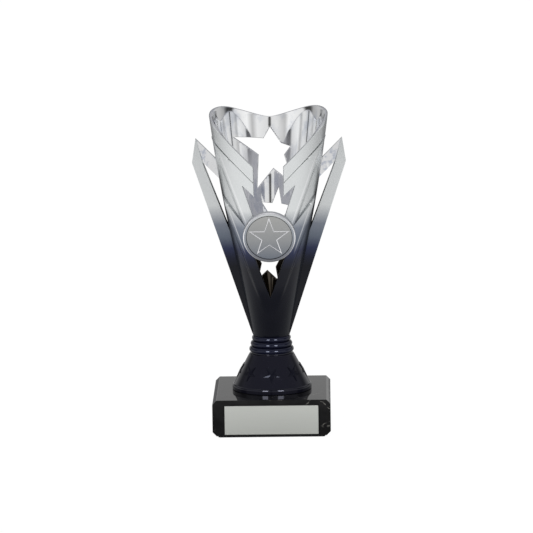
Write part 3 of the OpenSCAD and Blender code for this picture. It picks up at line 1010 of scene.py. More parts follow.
def skirt_star(bm, s, turn):
    """One raised star, drawn flat with its tip down and then laid on the skirt."""
    foot_r = RISER_HIGH.x - mm(s.ledge)
    rise = RISER_HIGH.z - RISER_LOW.z - mm(s.neck_height) - mm(s.flange)
    narrowing = (foot_r - mm(s.skirt_top)) / rise
    lean = math.atan(narrowing)
    verts = [bm.verts.new((p.x, -p.y, 0)) for p in star_points(mm(s.star))]
    sheet = bm.faces.new(verts)
    raised = bmesh.ops.extrude_face_region(bm, geom=[sheet], use_keep_orig=True)["geom"]
    bmesh.ops.translate(bm, vec=UP * s.star_edge, verts=only(BMVert, raised))
    middle = bmesh.ops.poke(bm, faces=only(BMFace, raised))["verts"]
    bmesh.ops.translate(bm, vec=UP * s.star_peak, verts=middle)
    bmesh.ops.poke(bm, faces=[sheet])
    bmesh.ops.subdivide_edges(bm, edges=bm.edges, cuts=2, use_grid_fill=True)
    bmesh.ops.recalc_face_normals(bm, faces=bm.faces)
    root = mm(s.star_root)
    for vert in bm.verts:
        x, y, share_up = vert.co
        level = mm(s.star_level) + y * math.cos(lean)
        skirt_r = foot_r - narrowing * (level - mm(s.flange))
        out = share_up * (root + mm(s.star_raise)) - root
        at = turn + x / skirt_r
        radius = skirt_r + out * math.cos(lean)
        height = RISER_LOW.z + level + out * math.sin(lean)
        vert.co = (radius * math.cos(at), radius * math.sin(at), height)
    for face in bm.faces:
        face.material_index = 1


def make_riser(s):
    bm = bmesh.new()
    revolve(bm, riser_outline(s), RISER_SIDES)
    for i in range(s.stars):
        star = bmesh.new()
        skirt_star(star, s, FULL_TURN * (i / s.stars - 1 / 4))
        join(bm, star)
    # The stars take a copy of the gloss black that reflects less: painted shade that darkens
    # them.
    finishes = ["gloss_black", "deep_black"]
    finish_piece("flared_riser", bm, "riser", finishes, smooth=14)


def join(bm, other):
    """Adds the other mesh's faces to bm and frees it."""
    carrier = bpy.data.meshes.new("carrier")
    other.to_mesh(carrier)
    other.free()
    bm.from_mesh(carrier)
    bpy.data.meshes.remove(carrier)


def make_collar(s):
    """Stacked rings with round backs."""
    height = COLLAR_HIGH.z - COLLAR_LOW.z
    pitch = height / s.rings
    tube = pitch * s.fullness
    reach = math.asin(pitch / 2 / tube)
    steps = 14
    bore_r = mm(bpy.context.scene.trophy_base.bore)
    outline = [(bore_r, COLLAR_LOW.z)]
    for i in range(s.rings):
        middle = mm(s.ring) - mm(s.step) * i - tube
        level = COLLAR_LOW.z + pitch * (i + 1 / 2)
        for k in range(steps + 1):
            turn = reach * (2 * k / steps - 1)
            outline.append((middle + tube * math.cos(turn), level + tube * math.sin(turn)))
    outline.append((bore_r, COLLAR_HIGH.z))
    bm = bmesh.new()
    revolve(bm, outline, ROUND_SIDES)
    finish_piece("ringed_collar", bm, "collar", ["gloss_navy"], smooth=50)


# ---------------------------------------------------------------- cup

COLUMNS = 264
LOW_ROWS = 64
RIM_ROWS = 26
ROUNDING_CUTS = 5
FRONT, BACK = -1, 1

# Outlines in the front view. Each is a list of [x, height above the cup's foot].
WINDOW = [(8, 110), (8, 81), (14, 86.7), (7.2, 66), (-7.2, 66), (-14, 86.7), (-8, 81), (-8, 110)]
LOWER_WINDOW = [(-9.8, 51), (9.8, 51), (0, 23.5)]
STARS = [
    [(0.3, 112.5), (6.3, 103.7), (11.5, 102), (8, 97.2), (13, 81.5),
     (2, 89.8), (-7, 79.1), (-6.1, 97.4), (-19.7, 108), (-3.3, 106.3)],
    [(4.9, 79.3), (6.3, 70.2), (12.5, 69), (7.8, 64), (9.5, 56.5),
     (4.5, 60.5), (-1.5, 56), (0, 63.5), (-4.5, 71), (1.3, 70.4)],
    [(1, 53), (2.6, 45.5), (7.5, 44.5), (2.6, 35.5), (3.8, 28.5),
     (-2, 33.8), (-6.8, 29.5), (-5, 37.5), (-8, 43.5), (-2.6, 44.5)],
]
BAND_LINE = [(8, 88.3), (32, 112.3)]
BLADE_LINE = [(11, 61.3), (27, 81.8)]
UPPER_RIDGE = [(27.2, 105.5), (12, 64.3)]
LOWER_RIDGE = [(23.2, 75.6), (13.1, 47.4), (3, 18)]


class CupShape:
    """The cup's numbers in millimetres, and the surfaces worked out from them.

    Heights count from the cup's foot. The ears are the rim's high sides, and ear_y is how far
    back they peak. From v_bend_y backwards the V curls up to meet them. The raised work fades
    out over side_fade, a share of the radius, and over foot_fade, in heights. A blade keeps
    all but blade_fall of its height blade_width in from its ridge. Over level_front, a share
    of the radius, cuts go from straight through the wall to square with it.
    """

    lengths = (
        "foot", "straight", "wall", "floor", "dip", "v_low", "slot", "band_raise",
        "blade_raise", "flank", "groove", "groove_depth", "lip",
    )
    ear_y, ear_fall = 20, 0.0068
    back_slope, back_round = 0.36, 1.5
    v_bend_y, v_bend = -12, 8
    rim_blend, rim_rounds = 1.6, 14
    side_fade = (0.91, 0.985)
    foot_fade = (14, 30)
    groove_side = 0.12
    blade_fall, blade_width = 0.7, 7
    foot_face = 0.02
    floor_blend = 2
    level_front = (0.7, 0.93)
    level_from = (8, 16)
    foot_rounding = [(0.5, 0), (0.12, 0.1)]
    foot_ring = 6.5
    first_row = 0.45
    conform_from = 88
    snap = 0.03

    def __init__(self, s):
        self.base = CUP_LOW.z
        self.height = CUP_HIGH.z - CUP_LOW.z
        for name in self.lengths:
            setattr(self, name, mm(getattr(s, name)))
        self.slope = math.tan(s.slope)
        self.v_slope = math.tan(s.v_angle)
        full_run = self.foot + self.slope * self.height - mm(s.mouth)
        self.ease = full_run / (self.height - self.straight) ** 2
        self.bore = mm(bpy.context.scene.trophy_base.bore)

    def radius(self, h):
        return self.foot + self.slope * h - self.ease * max(0, h - self.straight) ** 2

    def rim(self, turn):
        """Height of the rim at an angle round the cup."""
        h = self.height
        for _ in range(self.rim_rounds):
            r = self.radius(h)
            x, y = abs(r * math.cos(turn)), r * math.sin(turn)
            side = self.height - self.ear_fall * max(0, self.ear_y - y) ** 2
            back = self.height - self.dip - self.back_round + math.hypot(
                self.back_slope * x, self.back_round
            )
            curl = max(0, (y - self.v_bend_y) / self.v_bend) ** 2
            front = self.v_low + self.v_slope * (x - self.slot) + curl
            h = (h + soft_min([side, back, front], self.rim_blend)) / 2
        return h

    def relief(self, x, h):
        """How far the front wall stands proud of the plain cup at a front-view point."""
        point = (abs(x), h)
        above_band = offset_from(point, *BAND_LINE)
        towards_side = 1 - smooth_step(*self.side_fade, point[0] / self.radius(h))
        if above_band > 0:
            return self.step_up(above_band, self.band_raise) * towards_side
        above_blade = offset_from(point, *BLADE_LINE)
        if above_blade > self.groove or h > BLADE_LINE[1][1]:
            return self.blade(point, UPPER_RIDGE)
        if above_blade > 0:
            groove = self.step_up(self.groove - above_blade, 0) * towards_side
            return groove + self.blade(point, UPPER_RIDGE)
        ridge = LOWER_RIDGE[:2] if h > LOWER_RIDGE[1][1] else LOWER_RIDGE[1:]
        return self.blade(point, ridge) * smooth_step(*self.foot_fade, h) * towards_side

    def step_up(self, distance, top):
        """A groove that starts at distance 0 and ends in a step up to the top."""
        if distance < self.groove_side:
            return -self.groove_depth * distance / self.groove_side
        climb = ramp(self.groove - self.groove_side, self.groove, distance)
        return -self.groove_depth + (top + self.groove_depth) * climb

    def blade(self, point, ridge):
        """Height of a blade: highest along its ridge, sloping down on both sides."""
        outward = offset_from(point, *ridge)
        if outward > 0:
            return self.blade_raise * (1 - smooth_step(0, self.flank, outward))
        return self.blade_raise * (1 - self.blade_fall * min(1, -outward / self.blade_width))

    def inner_point(self, point):
        """The point of the inner wall that faces a point of the outer wall."""
        h = point.z - self.base
        flat = math.hypot(point.x, point.y)
        if h < self.foot_face:
            reach = min(1, (flat - self.bore) / (self.foot - self.bore))
            floor_r = self.radius(self.floor) - self.wall
            r = self.bore + (floor_r - self.bore) * reach
            return Vector((point.x / flat * r, point.y / flat * r, self.base + self.floor))
        blend_top = self.floor + self.floor_blend
        level = h
        if h < blend_top:
            level = self.floor + h * self.floor_blend / blend_top
        r_in = self.radius(level) - self.wall
        radial = Vector((point.x / flat * r_in, point.y / flat * r_in, 0))
        keep = 1 - smooth_step(*self.level_front, abs(point.x) / flat)
        keep *= smooth_step(*self.level_from, h)
        if keep > 0:
            y = math.copysign(math.sqrt(max(r_in ** 2 - point.x ** 2, 0)), point.y)
            radial = radial.lerp(Vector((point.x, y, 0)), keep)
            radial = radial.normalized() * r_in
        return Vector((radial.x, radial.y, self.base + level))


def cup_skin(bm, cup):
    """The cup's outer skin, foot and rim included, from one grid bent round."""
    foot = [(cup.bore, 0), (cup.foot_ring, 0)]
    foot += [(cup.foot - inwards, h) for inwards, h in cup.foot_rounding]
    rows = len(foot) + LOW_ROWS + RIM_ROWS
    bmesh.ops.create_grid(bm, x_segments=COLUMNS, y_segments=rows - 1, size=1)
    turns = [FULL_TURN * (i / COLUMNS - 1 / 4) for i in range(COLUMNS + 1)]
    rims = [cup.rim(turn) for turn in turns]
    for vert in bm.verts:
        column = round((vert.co.x + 1) / 2 * COLUMNS)
        row = round((vert.co.y + 1) / 2 * (rows - 1))
        if row < len(foot):
            r, h = foot[row]
        elif row < len(foot) + LOW_ROWS:
            t = (row - len(foot)) / (LOW_ROWS - 1)
            h = cup.first_row + (cup.conform_from - cup.first_row) * t
            r = cup.radius(h)
        else:
            t = (row - len(foot) - LOW_ROWS + 1) / RIM_ROWS
            h = cup.conform_from + (rims[column] - cup.conform_from) * t
            r = cup.radius(h)
        turn = turns[column]
        vert.co = (r * math.cos(turn), r * math.sin(turn), cup.base + h)
    bmesh.ops.remove_doubles(bm, verts=bm.verts, dist=SAME_PLACE)


def cut_line(bm, cup, line, side):
    """Cuts the FRONT or the BACK of the skin along a front-view line."""
    start, end = (Vector(p) for p in line)
    run = end - start
    near = []
    reach = 1.3
    for face in bm.faces:
        centre = face.calc_center_median()
        if centre.y * side <= 0:
            continue
        at = Vector((centre.x, centre.z - cup.base)) - start
        along = min(1, max(0, at.dot(run) / run.length_squared))
        if (at - run * along).length < reach:
            near.append(face)
    near_edges = {e for f in near for e in f.edges}
    near_verts = {v for f in near for v in f.verts}
    bmesh.ops.bisect_plane(
        bm,
        geom=near + list(near_edges) + list(near_verts),
        dist=cup.snap,
        plane_co=(start.x, 0, start.y + cup.base),
        plane_no=(-run.y, 0, run.x),
    )


def cut_outline(bm, cup, outline, side):
    """Cuts along a closed outline and takes out the faces inside it."""
    for line in zip(outline, outline[1:] + outline[:1]):
        cut_line(bm, cup, line, side)
    gone = []
    for face in bm.faces:
        centre = face.calc_center_median()
        if centre.y * side > 0 and inside((centre.x, centre.z - cup.base), outline):
            gone.append(face)
    bmesh.ops.delete(bm, geom=gone, context="FACES")


def cut_features(bm, cup):
    """Lines along which the front wall steps or folds, left and right."""
    lines = []
    for shift in (0, cup.groove_side, cup.groove - cup.groove_side, cup.groove):
        lines.append(shifted(BAND_LINE, shift))
        lines.append(shifted(BLADE_LINE, shift))
    for ridge in (UPPER_RIDGE, LOWER_RIDGE[:2], LOWER_RIDGE[1:]):
        for shift in (0, cup.flank / 3, cup.flank * 2 / 3, cup.flank):
            lines.append(shifted(ridge, shift))
    for line in lines:
        cut_line(bm, cup, line, FRONT)
        cut_line(bm, cup, mirrored(line), FRONT)


def settle_skin(bm, cup):
    """Welds points that crowd a cut edge, and puts every point back on the wall."""
    crowd, speck = 0.3, 0.004
    border = {v for v in bm.verts if v.is_boundary}
    joined = {}
    for vert in border:
        for edge in vert.link_edges:
            other = edge.other_vert(vert)
            if other not in border and other not in joined and edge.calc_length() < crowd:
                joined[other] = vert
    bmesh.ops.weld_verts(bm, targetmap=joined)
    bmesh.ops.dissolve_degenerate(bm, edges=bm.edges, dist=speck)
    above_foot = 0.4
    for vert in bm.verts:
        h = vert.co.z - cup.base
        if h > above_foot:
            flat = math.hypot(vert.co.x, vert.co.y)
            grow = cup.radius(h) / flat
            vert.co.x *= grow
            vert.co.y *= grow


def mark_border(bm, layer):
    """Stores, at each point of an open edge, the way out of the wall's edge."""
    longest, sharpest = 1.3, 0.5
    for vert in bm.verts:
        if not vert.is_boundary:
            continue
        out = Vector()
        for edge in vert.link_edges:
            if not edge.is_boundary:
                continue
            run = (edge.verts[1].co - edge.verts[0].co).normalized()
            face = edge.link_faces[0]
            away = (edge.verts[0].co + edge.verts[1].co) / 2 - face.calc_center_median()
            away -= run * away.dot(run)
            if away.length > 0:
                out += away.normalized()
        if out.length > 0:
            vert[layer] = out.normalized() * min(longest, 2 / max(out.length, sharpest))


def move_outwards(vert, distance):
    flat = math.hypot(vert.co.x, vert.co.y)
    vert.co.x += vert.co.x / flat * distance
    vert.co.y += vert.co.y / flat * distance


def thicken(bm, cup):
    """Gives the skin its wall, its relief and softly rounded cut edges."""
    outward = bm.verts.layers.float_vector.new("outward")
    through = bm.verts.layers.float_vector.new("through")
    depth = bm.verts.layers.float.new("depth")
    mark_border(bm, outward)
    skin = list(bm.verts)
    made = bmesh.ops.extrude_face_region(bm, geom=list(bm.faces), use_keep_orig=True)["geom"]
    inner = set(only(BMVert, made))
    for vert in inner:
        vert.co = cup.inner_point(vert.co)
        vert[depth] = 1
    plain_foot = 1
    for vert in skin:
        h = vert.co.z - cup.base
        if vert.co.y < 0 and h > plain_foot:
            move_outwards(vert, cup.relief(vert.co.x, h))
    crossing = [e for e in bm.edges if (e.verts[0] in inner) != (e.verts[1] in inner)]
    for edge in crossing:
        outer_vert, inner_vert = sorted(edge.verts, key=inner.__contains__)
        inner_vert[through] = outer_vert[through] = inner_vert.co - outer_vert.co
    bmesh.ops.subdivide_edges(bm, edges=crossing, cuts=ROUNDING_CUTS, use_grid_fill=True)
    for vert in bm.verts:
        run = vert[through]
        if run.length == 0:
            continue
        t = vert[depth]
        eased = (1 - math.cos(math.pi * t)) / 2
        vert.co += run * (eased - t) + vert[outward] * cup.lip * (math.sin(math.pi * t) - 1)
    for face in bm.faces:
        mean = sum(v[depth] for v in face.verts) / len(face.verts)
        face.material_index = 0 if mean < 1 / 2 else 1
    for name in ("outward", "through"):
        bm.verts.layers.float_vector.remove(bm.verts.layers.float_vector[name])
    bm.verts.layers.float.remove(bm.verts.layers.float["depth"])
    bmesh.ops.recalc_face_normals(bm, faces=bm.faces)


def make_cup(s):
    cup = CupShape(s)
    bm = bmesh.new()
    cup_skin(bm, cup)
    cut_features(bm, cup)
    cut_outline(bm, cup, WINDOW, FRONT)
    cut_outline(bm, cup, LOWER_WINDOW, FRONT)
    for star in STARS:
        cut_outline(bm, cup, star, BACK)
    settle_skin(bm, cup)
    thicken(bm, cup)
    finishes = ["satin_cup", "mirror_chrome"]
    finish_piece("flared_cup", bm, "cup", finishes, smooth=40)


# ---------------------------------------------------------------- wings


# Front-view outline of the bridge's bright faces, a little inside its edges.
BRIDGE_FACE = [(36.6, 97.0), (39.6, 109.4), (20, 90), (20, 80.5)]


def wing_outlines(s, cup):
    """Front-view outlines of the right wing's rib and bridge, sharing one edge."""
    reach, root = WING_HIGH.x, mm(s.root)
    tip = (reach - mm(s.tip_in), mm(s.tip))
    corner = (reach, mm(s.corner))
    shoulder = (tip[0] - mm(s.shoulder), tip[1] - mm(s.shoulder))
    inner_corner = (reach - mm(s.rib), tip[1] - mm(s.drop))

    def wall_x(h):
        return cup.radius(h) - root

    def meet(line_x, line_h):
        """Where a line that falls one for one towards the cup reaches the root."""
        x = line_x
        for _ in range(20):
            x = (x + wall_x(line_h - (line_x - x))) / 2
        return (x, line_h - (line_x - x))

    gap_x, gap_h = cup.radius(mm(s.gap_low)), mm(s.gap_low)
    lean = (inner_corner[0] - gap_x) / (inner_corner[1] - gap_h)
    down = root / (lean - cup.slope)
    rise = (gap_x - lean * down, gap_h - down)
    foot = [(cup.foot + mm(s.foot_out), mm(s.foot)), (wall_x(mm(s.foot)), mm(s.foot))]
    rib = [tip, corner, *foot, rise, inner_corner, shoulder]
    bridge = [shoulder, inner_corner, meet(*inner_corner), meet(*tip)]
    return rib, bridge


def wing_half(bm, s, cup, rib, bridge):
    """The front half of the right wing. Returns the vertices of the rib's front face."""
    places = {}
    for x, h in rib + bridge:
        if (x, h) not in places:
            places[(x, h)] = bm.verts.new((x, 0, cup.base + h))
    sheets = [bm.faces.new([places[p] for p in outline]) for outline in (rib, bridge)]
    rib_depth = (WING_HIGH.y - WING_LOW.y) / 2
    bridge_depth = mm(s.bridge) / 2
    made = bmesh.ops.extrude_face_region(bm, geom=sheets, use_keep_orig=True)["geom"]
    bmesh.ops.translate(bm, vec=(0, -bridge_depth, 0), verts=only(BMVert, made))
    rib_front = max(only(BMFace, made), key=lambda f: len(f.verts))
    made = bmesh.ops.extrude_face_region(bm, geom=[rib_front])["geom"]
    front = only(BMVert, made)
    bmesh.ops.translate(bm, vec=(0, bridge_depth - rib_depth, 0), verts=front)
    bmesh.ops.delete(bm, geom=[rib_front], context="FACES_ONLY")
    return set(front)


def shape_front(bm, s, cup, rib, front):
    """Gives the rib's front its draft, its leaning tip and the crease under the tip."""
    _, corner, _, _, rise, inner_corner, _ = rib
    on_line, near, above_corner = 0.01, 0.4, 3
    for vert in front:
        h = vert.co.z - cup.base
        aside = abs(offset_from((vert.co.x, h), rise, inner_corner))
        if aside < on_line and h > rise[1] - 1:
            vert.co.x += mm(s.draft)
        if h > inner_corner[1] + above_corner:
            vert.co.y += mm(s.tip_slope)
    face = max((f for f in bm.faces if front.issuperset(f.verts)), key=lambda f: f.calc_area())
    levels = (corner[1], inner_corner[1])
    ends = [v for v in face.verts if min(abs(v.co.z - cup.base - h) for h in levels) < near]
    if len(ends) == 2:
        bmesh.ops.connect_verts(bm, verts=ends)


def mirror_half(bm):
    """Opens the middle plane and adds the back half."""
    middle = [f for f in bm.faces if all(abs(v.co.y) < SAME_PLACE for v in f.verts)]
    bmesh.ops.delete(bm, geom=middle, context="FACES_ONLY")
    bmesh.ops.delete(bm, geom=[e for e in bm.edges if e.is_wire], context="EDGES")
    half = list(bm.verts) + list(bm.edges) + list(bm.faces)
    bmesh.ops.mirror(bm, geom=half, axis="Y", merge_dist=SAME_PLACE)
    bmesh.ops.recalc_face_normals(bm, faces=bm.faces)


def make_wing(s, side, name, node):
    """A wing: side is -1 for the left one and 1 for the right one."""
    cup = CupShape(bpy.context.scene.trophy_cup)
    bm = bmesh.new()
    rib, bridge = wing_outlines(s, cup)
    front = wing_half(bm, s, cup, rib, bridge)
    shape_front(bm, s, cup, rib, front)
    mirror_half(bm)
    folded, root_share, shortest = 25, 0.6, 0.4
    deepest = -mm(s.root) * root_share
    outer = []
    for edge in sharp_edges(bm, folded):
        clear = all(v.co.x - cup.radius(v.co.z - cup.base) > deepest for v in edge.verts)
        if clear and edge.calc_length() > shortest:
            outer.append(edge)
    bevel(bm, outer, mm(s.edge))
    bridge_depth = mm(s.bridge) / 2 + 0.2
    for face in bm.faces:
        x, y, z = face.calc_center_median()
        bright = inside((x, z - cup.base), BRIDGE_FACE) and abs(y) < bridge_depth
        face.material_index = 1 if bright else 0
    if side < 0:
        bmesh.ops.scale(bm, vec=(-1, 1, 1), verts=bm.verts)
        bmesh.ops.reverse_faces(bm, faces=bm.faces)
    finishes = ["satin_silver_to_navy", "mirror_bridge"]
    finish_piece(name, bm, node, finishes, smooth=30)


# ---------------------------------------------------------------- medal


def wall_place(s, cup):
    """Turns a flat shape to face forwards, square to the lower wall at the medal."""
    level = mm(s.level)
    spot = Vector((0, -cup.radius(level), cup.base + level))
    lean = math.pi / 2 + math.atan(cup.slope)
    return Matrix.Translation(spot) @ Matrix.Rotation(lean, 4, "X")


def holder_section(s):
    """Half of the holder's section: seat, lip, side, boss and peg."""
    r, depth, chamfer = mm(s.holder), mm(s.holder_depth), mm(s.burnish)
    seat_r, seat = mm(s.medal) + mm(s.seat_gap), depth - mm(s.recess)
    boss_r, boss = mm(s.boss), -mm(s.boss_depth)
    peg_r, peg = mm(s.peg), -mm(s.peg_in)
    section = [
        (0, seat, 0), (seat_r, seat, 0.1), (seat_r, depth - 0.1, 0.1),
        (seat_r + 0.15, depth, 0.1), (r - chamfer, depth, 0.2), (r, depth - chamfer, 0.2),
        (r, 0.2, 0.1), (r - 0.2, 0, 0.1), (boss_r, 0, 0.5), (boss_r, boss, 0),
        (peg_r, boss, 0), (peg_r, peg, 0.3), (0, peg, 0),
    ]
    return rounded_section(section, closed=False)


def seat_boss(bm, s, cup, place):
    """Moves the boss's back face onto the curved wall, some way into it."""
    on_face, share_in, rounds = 0.01, 0.6, 24
    behind = place.to_3x3() @ -UP
    to_flat = place.inverted()
    for vert in bm.verts:
        flat = to_flat @ vert.co
        if abs(flat.z + mm(s.boss_depth)) > on_face:
            continue
        start = place @ Vector((flat.x, flat.y, 0))
        run = 0.0
        for _ in range(rounds):
            spot = start + behind * run
            gap = math.hypot(spot.x, spot.y) - cup.radius(spot.z - cup.base)
            run += gap + cup.wall * share_in
        vert.co = start + behind * run


def make_holder(s, cup):
    bm = bmesh.new()
    revolve(bm, holder_section(s), ROUND_SIDES, closed=False)
    chamfer_r = mm(s.holder) - mm(s.burnish) - 0.05
    chamfer_z = mm(s.holder_depth) - mm(s.burnish) - 0.1
    for face in bm.faces:
        x, y, z = face.calc_center_median()
        bright = math.hypot(x, y) > chamfer_r and z > chamfer_z
        face.material_index = 1 if bright else 0
    place = wall_place(s, cup)
    bmesh.ops.transform(bm, matrix=place, verts=bm.verts)
    seat_boss(bm, s, cup, place)
    bmesh.ops.recalc_face_normals(bm, faces=bm.faces)
    finishes = ["satin_holder", "burnished_line"]
    finish_piece("medal_holder_rim", bm, "medal_holder", finishes)


def star_ridge(bm, s, face_height):
    """The raised outline of a star, with a rounded top, as its own closed band."""
    width = mm(s.star_line) / math.sin(FULL_TURN / 20)
    top = face_height + mm(s.star_raise)
    shoulder, sunk = top - 0.05, face_height - 0.1
    steps = [
        (0, sunk), (0, face_height), (1 / 4, shoulder), (1 / 2, top), (3 / 4, shoulder),
        (1, face_height), (1, sunk),
    ]
    edges = []
    for inward, height in steps:
        outline = star_points(mm(s.star) - width * inward)
        loop = [bm.verts.new(point + UP * height) for point in outline]
        edges.append([bm.edges.new(pair) for pair in zip(loop, loop[1:] + loop[:1])])
    for one, two in zip(edges, edges[1:] + edges[:1]):
        bmesh.ops.bridge_loops(bm, edges=one + two)
    for face in bm.faces:
        face.material_index = 1
    bmesh.ops.recalc_face_normals(bm, faces=bm.faces)


def make_medal(s):
    cup = CupShape(bpy.context.scene.trophy_cup)
    make_holder(s, cup)
    r, low = mm(s.medal), mm(s.holder_depth) - mm(s.recess) + mm(s.tape)
    high = low + mm(s.thickness)
    section = [(0, low, 0), (r, low, 0.15), (r, high, 0.3), (0, high, 0)]
    bm = bmesh.new()
    revolve(bm, rounded_section(section, closed=False), ROUND_SIDES, closed=False)
    ridge = bmesh.new()
    star_ridge(ridge, s, high)
    join(bm, ridge)
    bmesh.ops.transform(bm, matrix=wall_place(s, cup), verts=bm.verts)
    finishes = ["satin_medal", "burnished_line"]
    finish_piece("star_medal", bm, "medal", finishes, smooth=30)


# ---------------------------------------------------------------- fixings


def make_rod(s):
    """A rod with a real thread: a spun cylinder whose rows follow the helix."""
    r, low, high = ROD_HIGH.x, ROD_LOW.z, ROD_HIGH.z
    pitch, thread = mm(s.pitch), mm(s.thread)
    rows_per_turn, sides, flank, cone_slope = 6, 36, 2.4, 1.4
    count = round((high - low) / pitch * rows_per_turn)
    levels = [low + (high - low) * i / count for i in range(count + 1)]
    outline = [(0, low)] + [(r, z) for z in levels] + [(0, high)]
    bm = bmesh.new()
    revolve(bm, outline, steps=sides, closed=False)
    for vert in bm.verts:
        flat = math.hypot(vert.co.x, vert.co.y)
        if flat < r / 2:
            continue
        turn = math.atan2(vert.co.y, vert.co.x) / FULL_TURN
        phase = (vert.co.z / pitch + turn) % 1
        groove = thread * max(0, 1 - abs(phase - 1 / 2) * flank)
        from_end = min(vert.co.z - low, high - vert.co.z)
        cone = max(0, mm(s.chamfer) * cone_slope - from_end)
        move_outwards(vert, r - max(groove, cone) - flat)
    finish_piece("rod", bm, "threaded_rod", ["zinc_plating"], smooth=60)


def make_nut(s, name, node):
    low, high = corners(node)
    flats = (high.y - low.y) / 2
    face_r = flats * s.nut_face
    bore = ROD_HIGH.x - mm(s.thread) / 2
    mouth = ROD_HIGH.x + mm(s.nut_mouth)
    chamfer = mm(s.chamfer)
    tilt = math.tan(math.radians(30))

    def side_radius(turn):
        return flats / math.cos((turn + FULL_TURN) % (FULL_TURN / 6) - FULL_TURN / 12)

    def ring(radius, height):
        return lambda turn: (radius, height)

    def corner_ring(height, up):
        """The chamfered edge of the six sides, which lies lower or higher at the corners."""
        return lambda turn: (side_radius(turn), height + (side_radius(turn) - face_r) * up)

    rings = [
        ring(bore, low.z + chamfer), ring(mouth, low.z), ring(face_r, low.z),
        corner_ring(low.z, tilt), corner_ring(high.z, -tilt),
        ring(face_r, high.z), ring(mouth, high.z), ring(bore, high.z - chamfer),
    ]
    bm = bmesh.new()
    stack_rings(bm, rings, SMALL_SIDES)
    finish_piece(name, bm, node, ["zinc_plating"], smooth=30)


def make_washer(s, name, node):
    low, high = corners(node)
    bore = mm(bpy.context.scene.trophy_base.bore)
    outline = [(bore, low.z), (high.x, low.z), (high.x, high.z), (bore, high.z)]
    bm = bmesh.new()
    revolve(bm, rounded(outline, mm(s.washer_edge), steps=3), SMALL_SIDES)
    finish_piece(name, bm, node, ["zinc_plating"], smooth=50)


# ---------------------------------------------------------------- stage


def camera_axes(stage):
    """The camera's right, up and back directions, roll included."""
    turn, tilt, roll = stage.azimuth, stage.elevation, stage.roll
    back = Vector(
        (math.sin(turn) * math.cos(tilt), -math.cos(turn) * math.cos(tilt), math.sin(tilt))
    )
    right = Vector((math.cos(turn), math.sin(turn), 0))
    up = back.cross(right)
    rolled_right = right * math.cos(roll) + up * math.sin(roll)
    rolled_up = up * math.cos(roll) - right * math.sin(roll)
    return rolled_right, rolled_up, back


def make_camera(stage):
    right, up, back = camera_axes(stage)
    target = Vector((stage.target_x, 0, stage.target_z))
    data = bpy.data.cameras.new("camera")
    data.lens = stage.lens
    data.sensor_width = 36
    data.clip_start, data.clip_end = 0.05, 50
    camera = bpy.data.objects.new("camera", data)
    turn = Matrix((right, up, back)).transposed().to_4x4()
    camera.matrix_world = Matrix.Translation(target + back * stage.distance) @ turn
    bpy.context.scene.collection.objects.link(camera)
    bpy.context.scene.camera = camera


def gloss_pieces():
    """A collection of the gloss pieces, which is what the soft boxes light."""
    made = bpy.data.collections.new("gloss_pieces")
    for name in ("flared_riser", "ringed_collar"):
        made.objects.link(bpy.data.objects[name])
    return made


def add_soft_box(name, azimuth, width, power, lit):
    """A tall soft box. Azimuth 0, in degrees, is straight in front, positive to +X."""
    target = Vector((0, 0, 0.09))
    elevation, distance, height = math.radians(8), 1.2, 0.62
    turn = math.radians(azimuth)
    level, rise = math.cos(elevation), math.sin(elevation)
    away = Vector((math.sin(turn) * level, -math.cos(turn) * level, rise)) * distance
    data = bpy.data.lights.new(name, "AREA")
    data.shape = "RECTANGLE"
    data.size, data.size_y = width, height
    data.energy = power
    lamp = bpy.data.objects.new(name, data)
    facing = away.to_track_quat("Z", "Y").to_matrix().to_4x4()
    lamp.matrix_world = Matrix.Translation(target + away) @ facing
    bpy.context.scene.collection.objects.link(lamp)
    lamp.visible_camera = False
    lamp.light_linking.receiver_collection = lit


# Brightness of the studio seen from the trophy: [share of a turn from behind, grey].
STUDIO_TURN = [
    (0.00, 0.06), (0.12, 0.08), (0.21, 0.32), (0.235, 0.06), (0.27, 0.06),
    (0.29, 0.80), (0.38, 0.95), (0.40, 0.55), (0.45, 0.80), (0.486, 0.75), (0.490, 0.08),
    (0.502, 0.08), (0.506, 0.75), (0.57, 0.85), (0.60, 0.50), (0.63, 0.95), (0.71, 0.80),
    (0.73, 0.06), (0.765, 0.06), (0.79, 0.32), (0.88, 0.08), (1.00, 0.06),
]

# The bright band low on the back wall, laid out in the same way.
BACK_TURN = [
    (0.00, 0.52), (0.10, 0.52), (0.17, 0.30), (0.22, 0.0), (0.78, 0.0), (0.83, 0.30),
    (0.90, 0.52), (1.00, 0.52),
]

# The floor's brightness round the trophy, laid out in the same way.
FLOOR_TURN = [
    (0.00, 0.06), (0.09, 0.08), (0.15, 0.35), (0.20, 0.60), (0.30, 0.80), (0.38, 0.80),
    (0.50, 0.70), (0.62, 0.80), (0.70, 0.72), (0.80, 0.48), (0.85, 0.28), (0.91, 0.08),
    (1.00, 0.06),
]


def share_of_turn(tree, place):
    """Share of a turn round Z at which a place lies: 0 and 1 behind, 0.5 in front."""
    parts = parts_of(tree, place)
    backwards = maths(tree, "MULTIPLY", parts["Y"], -1.0)
    turn = maths(tree, "ARCTAN2", parts["X"], backwards)
    return map_range(tree, turn, -math.pi, math.pi)


def glow(tree, kind, tone, strength=1.0):
    """A background or an emission shader."""
    return add(tree, kind, {"Color": tone, "Strength": strength}).outputs[0]


def camera_sees(tree, lit, shown, output):
    """Shows the camera one shader, and gives every other ray the other one."""
    seen = add(tree, "ShaderNodeLightPath").outputs["Is Camera Ray"]
    mixed = add(tree, "ShaderNodeMixShader", {0: seen, 1: lit, 2: shown}).outputs[0]
    tree.links.new(mixed, add(tree, output).inputs["Surface"])


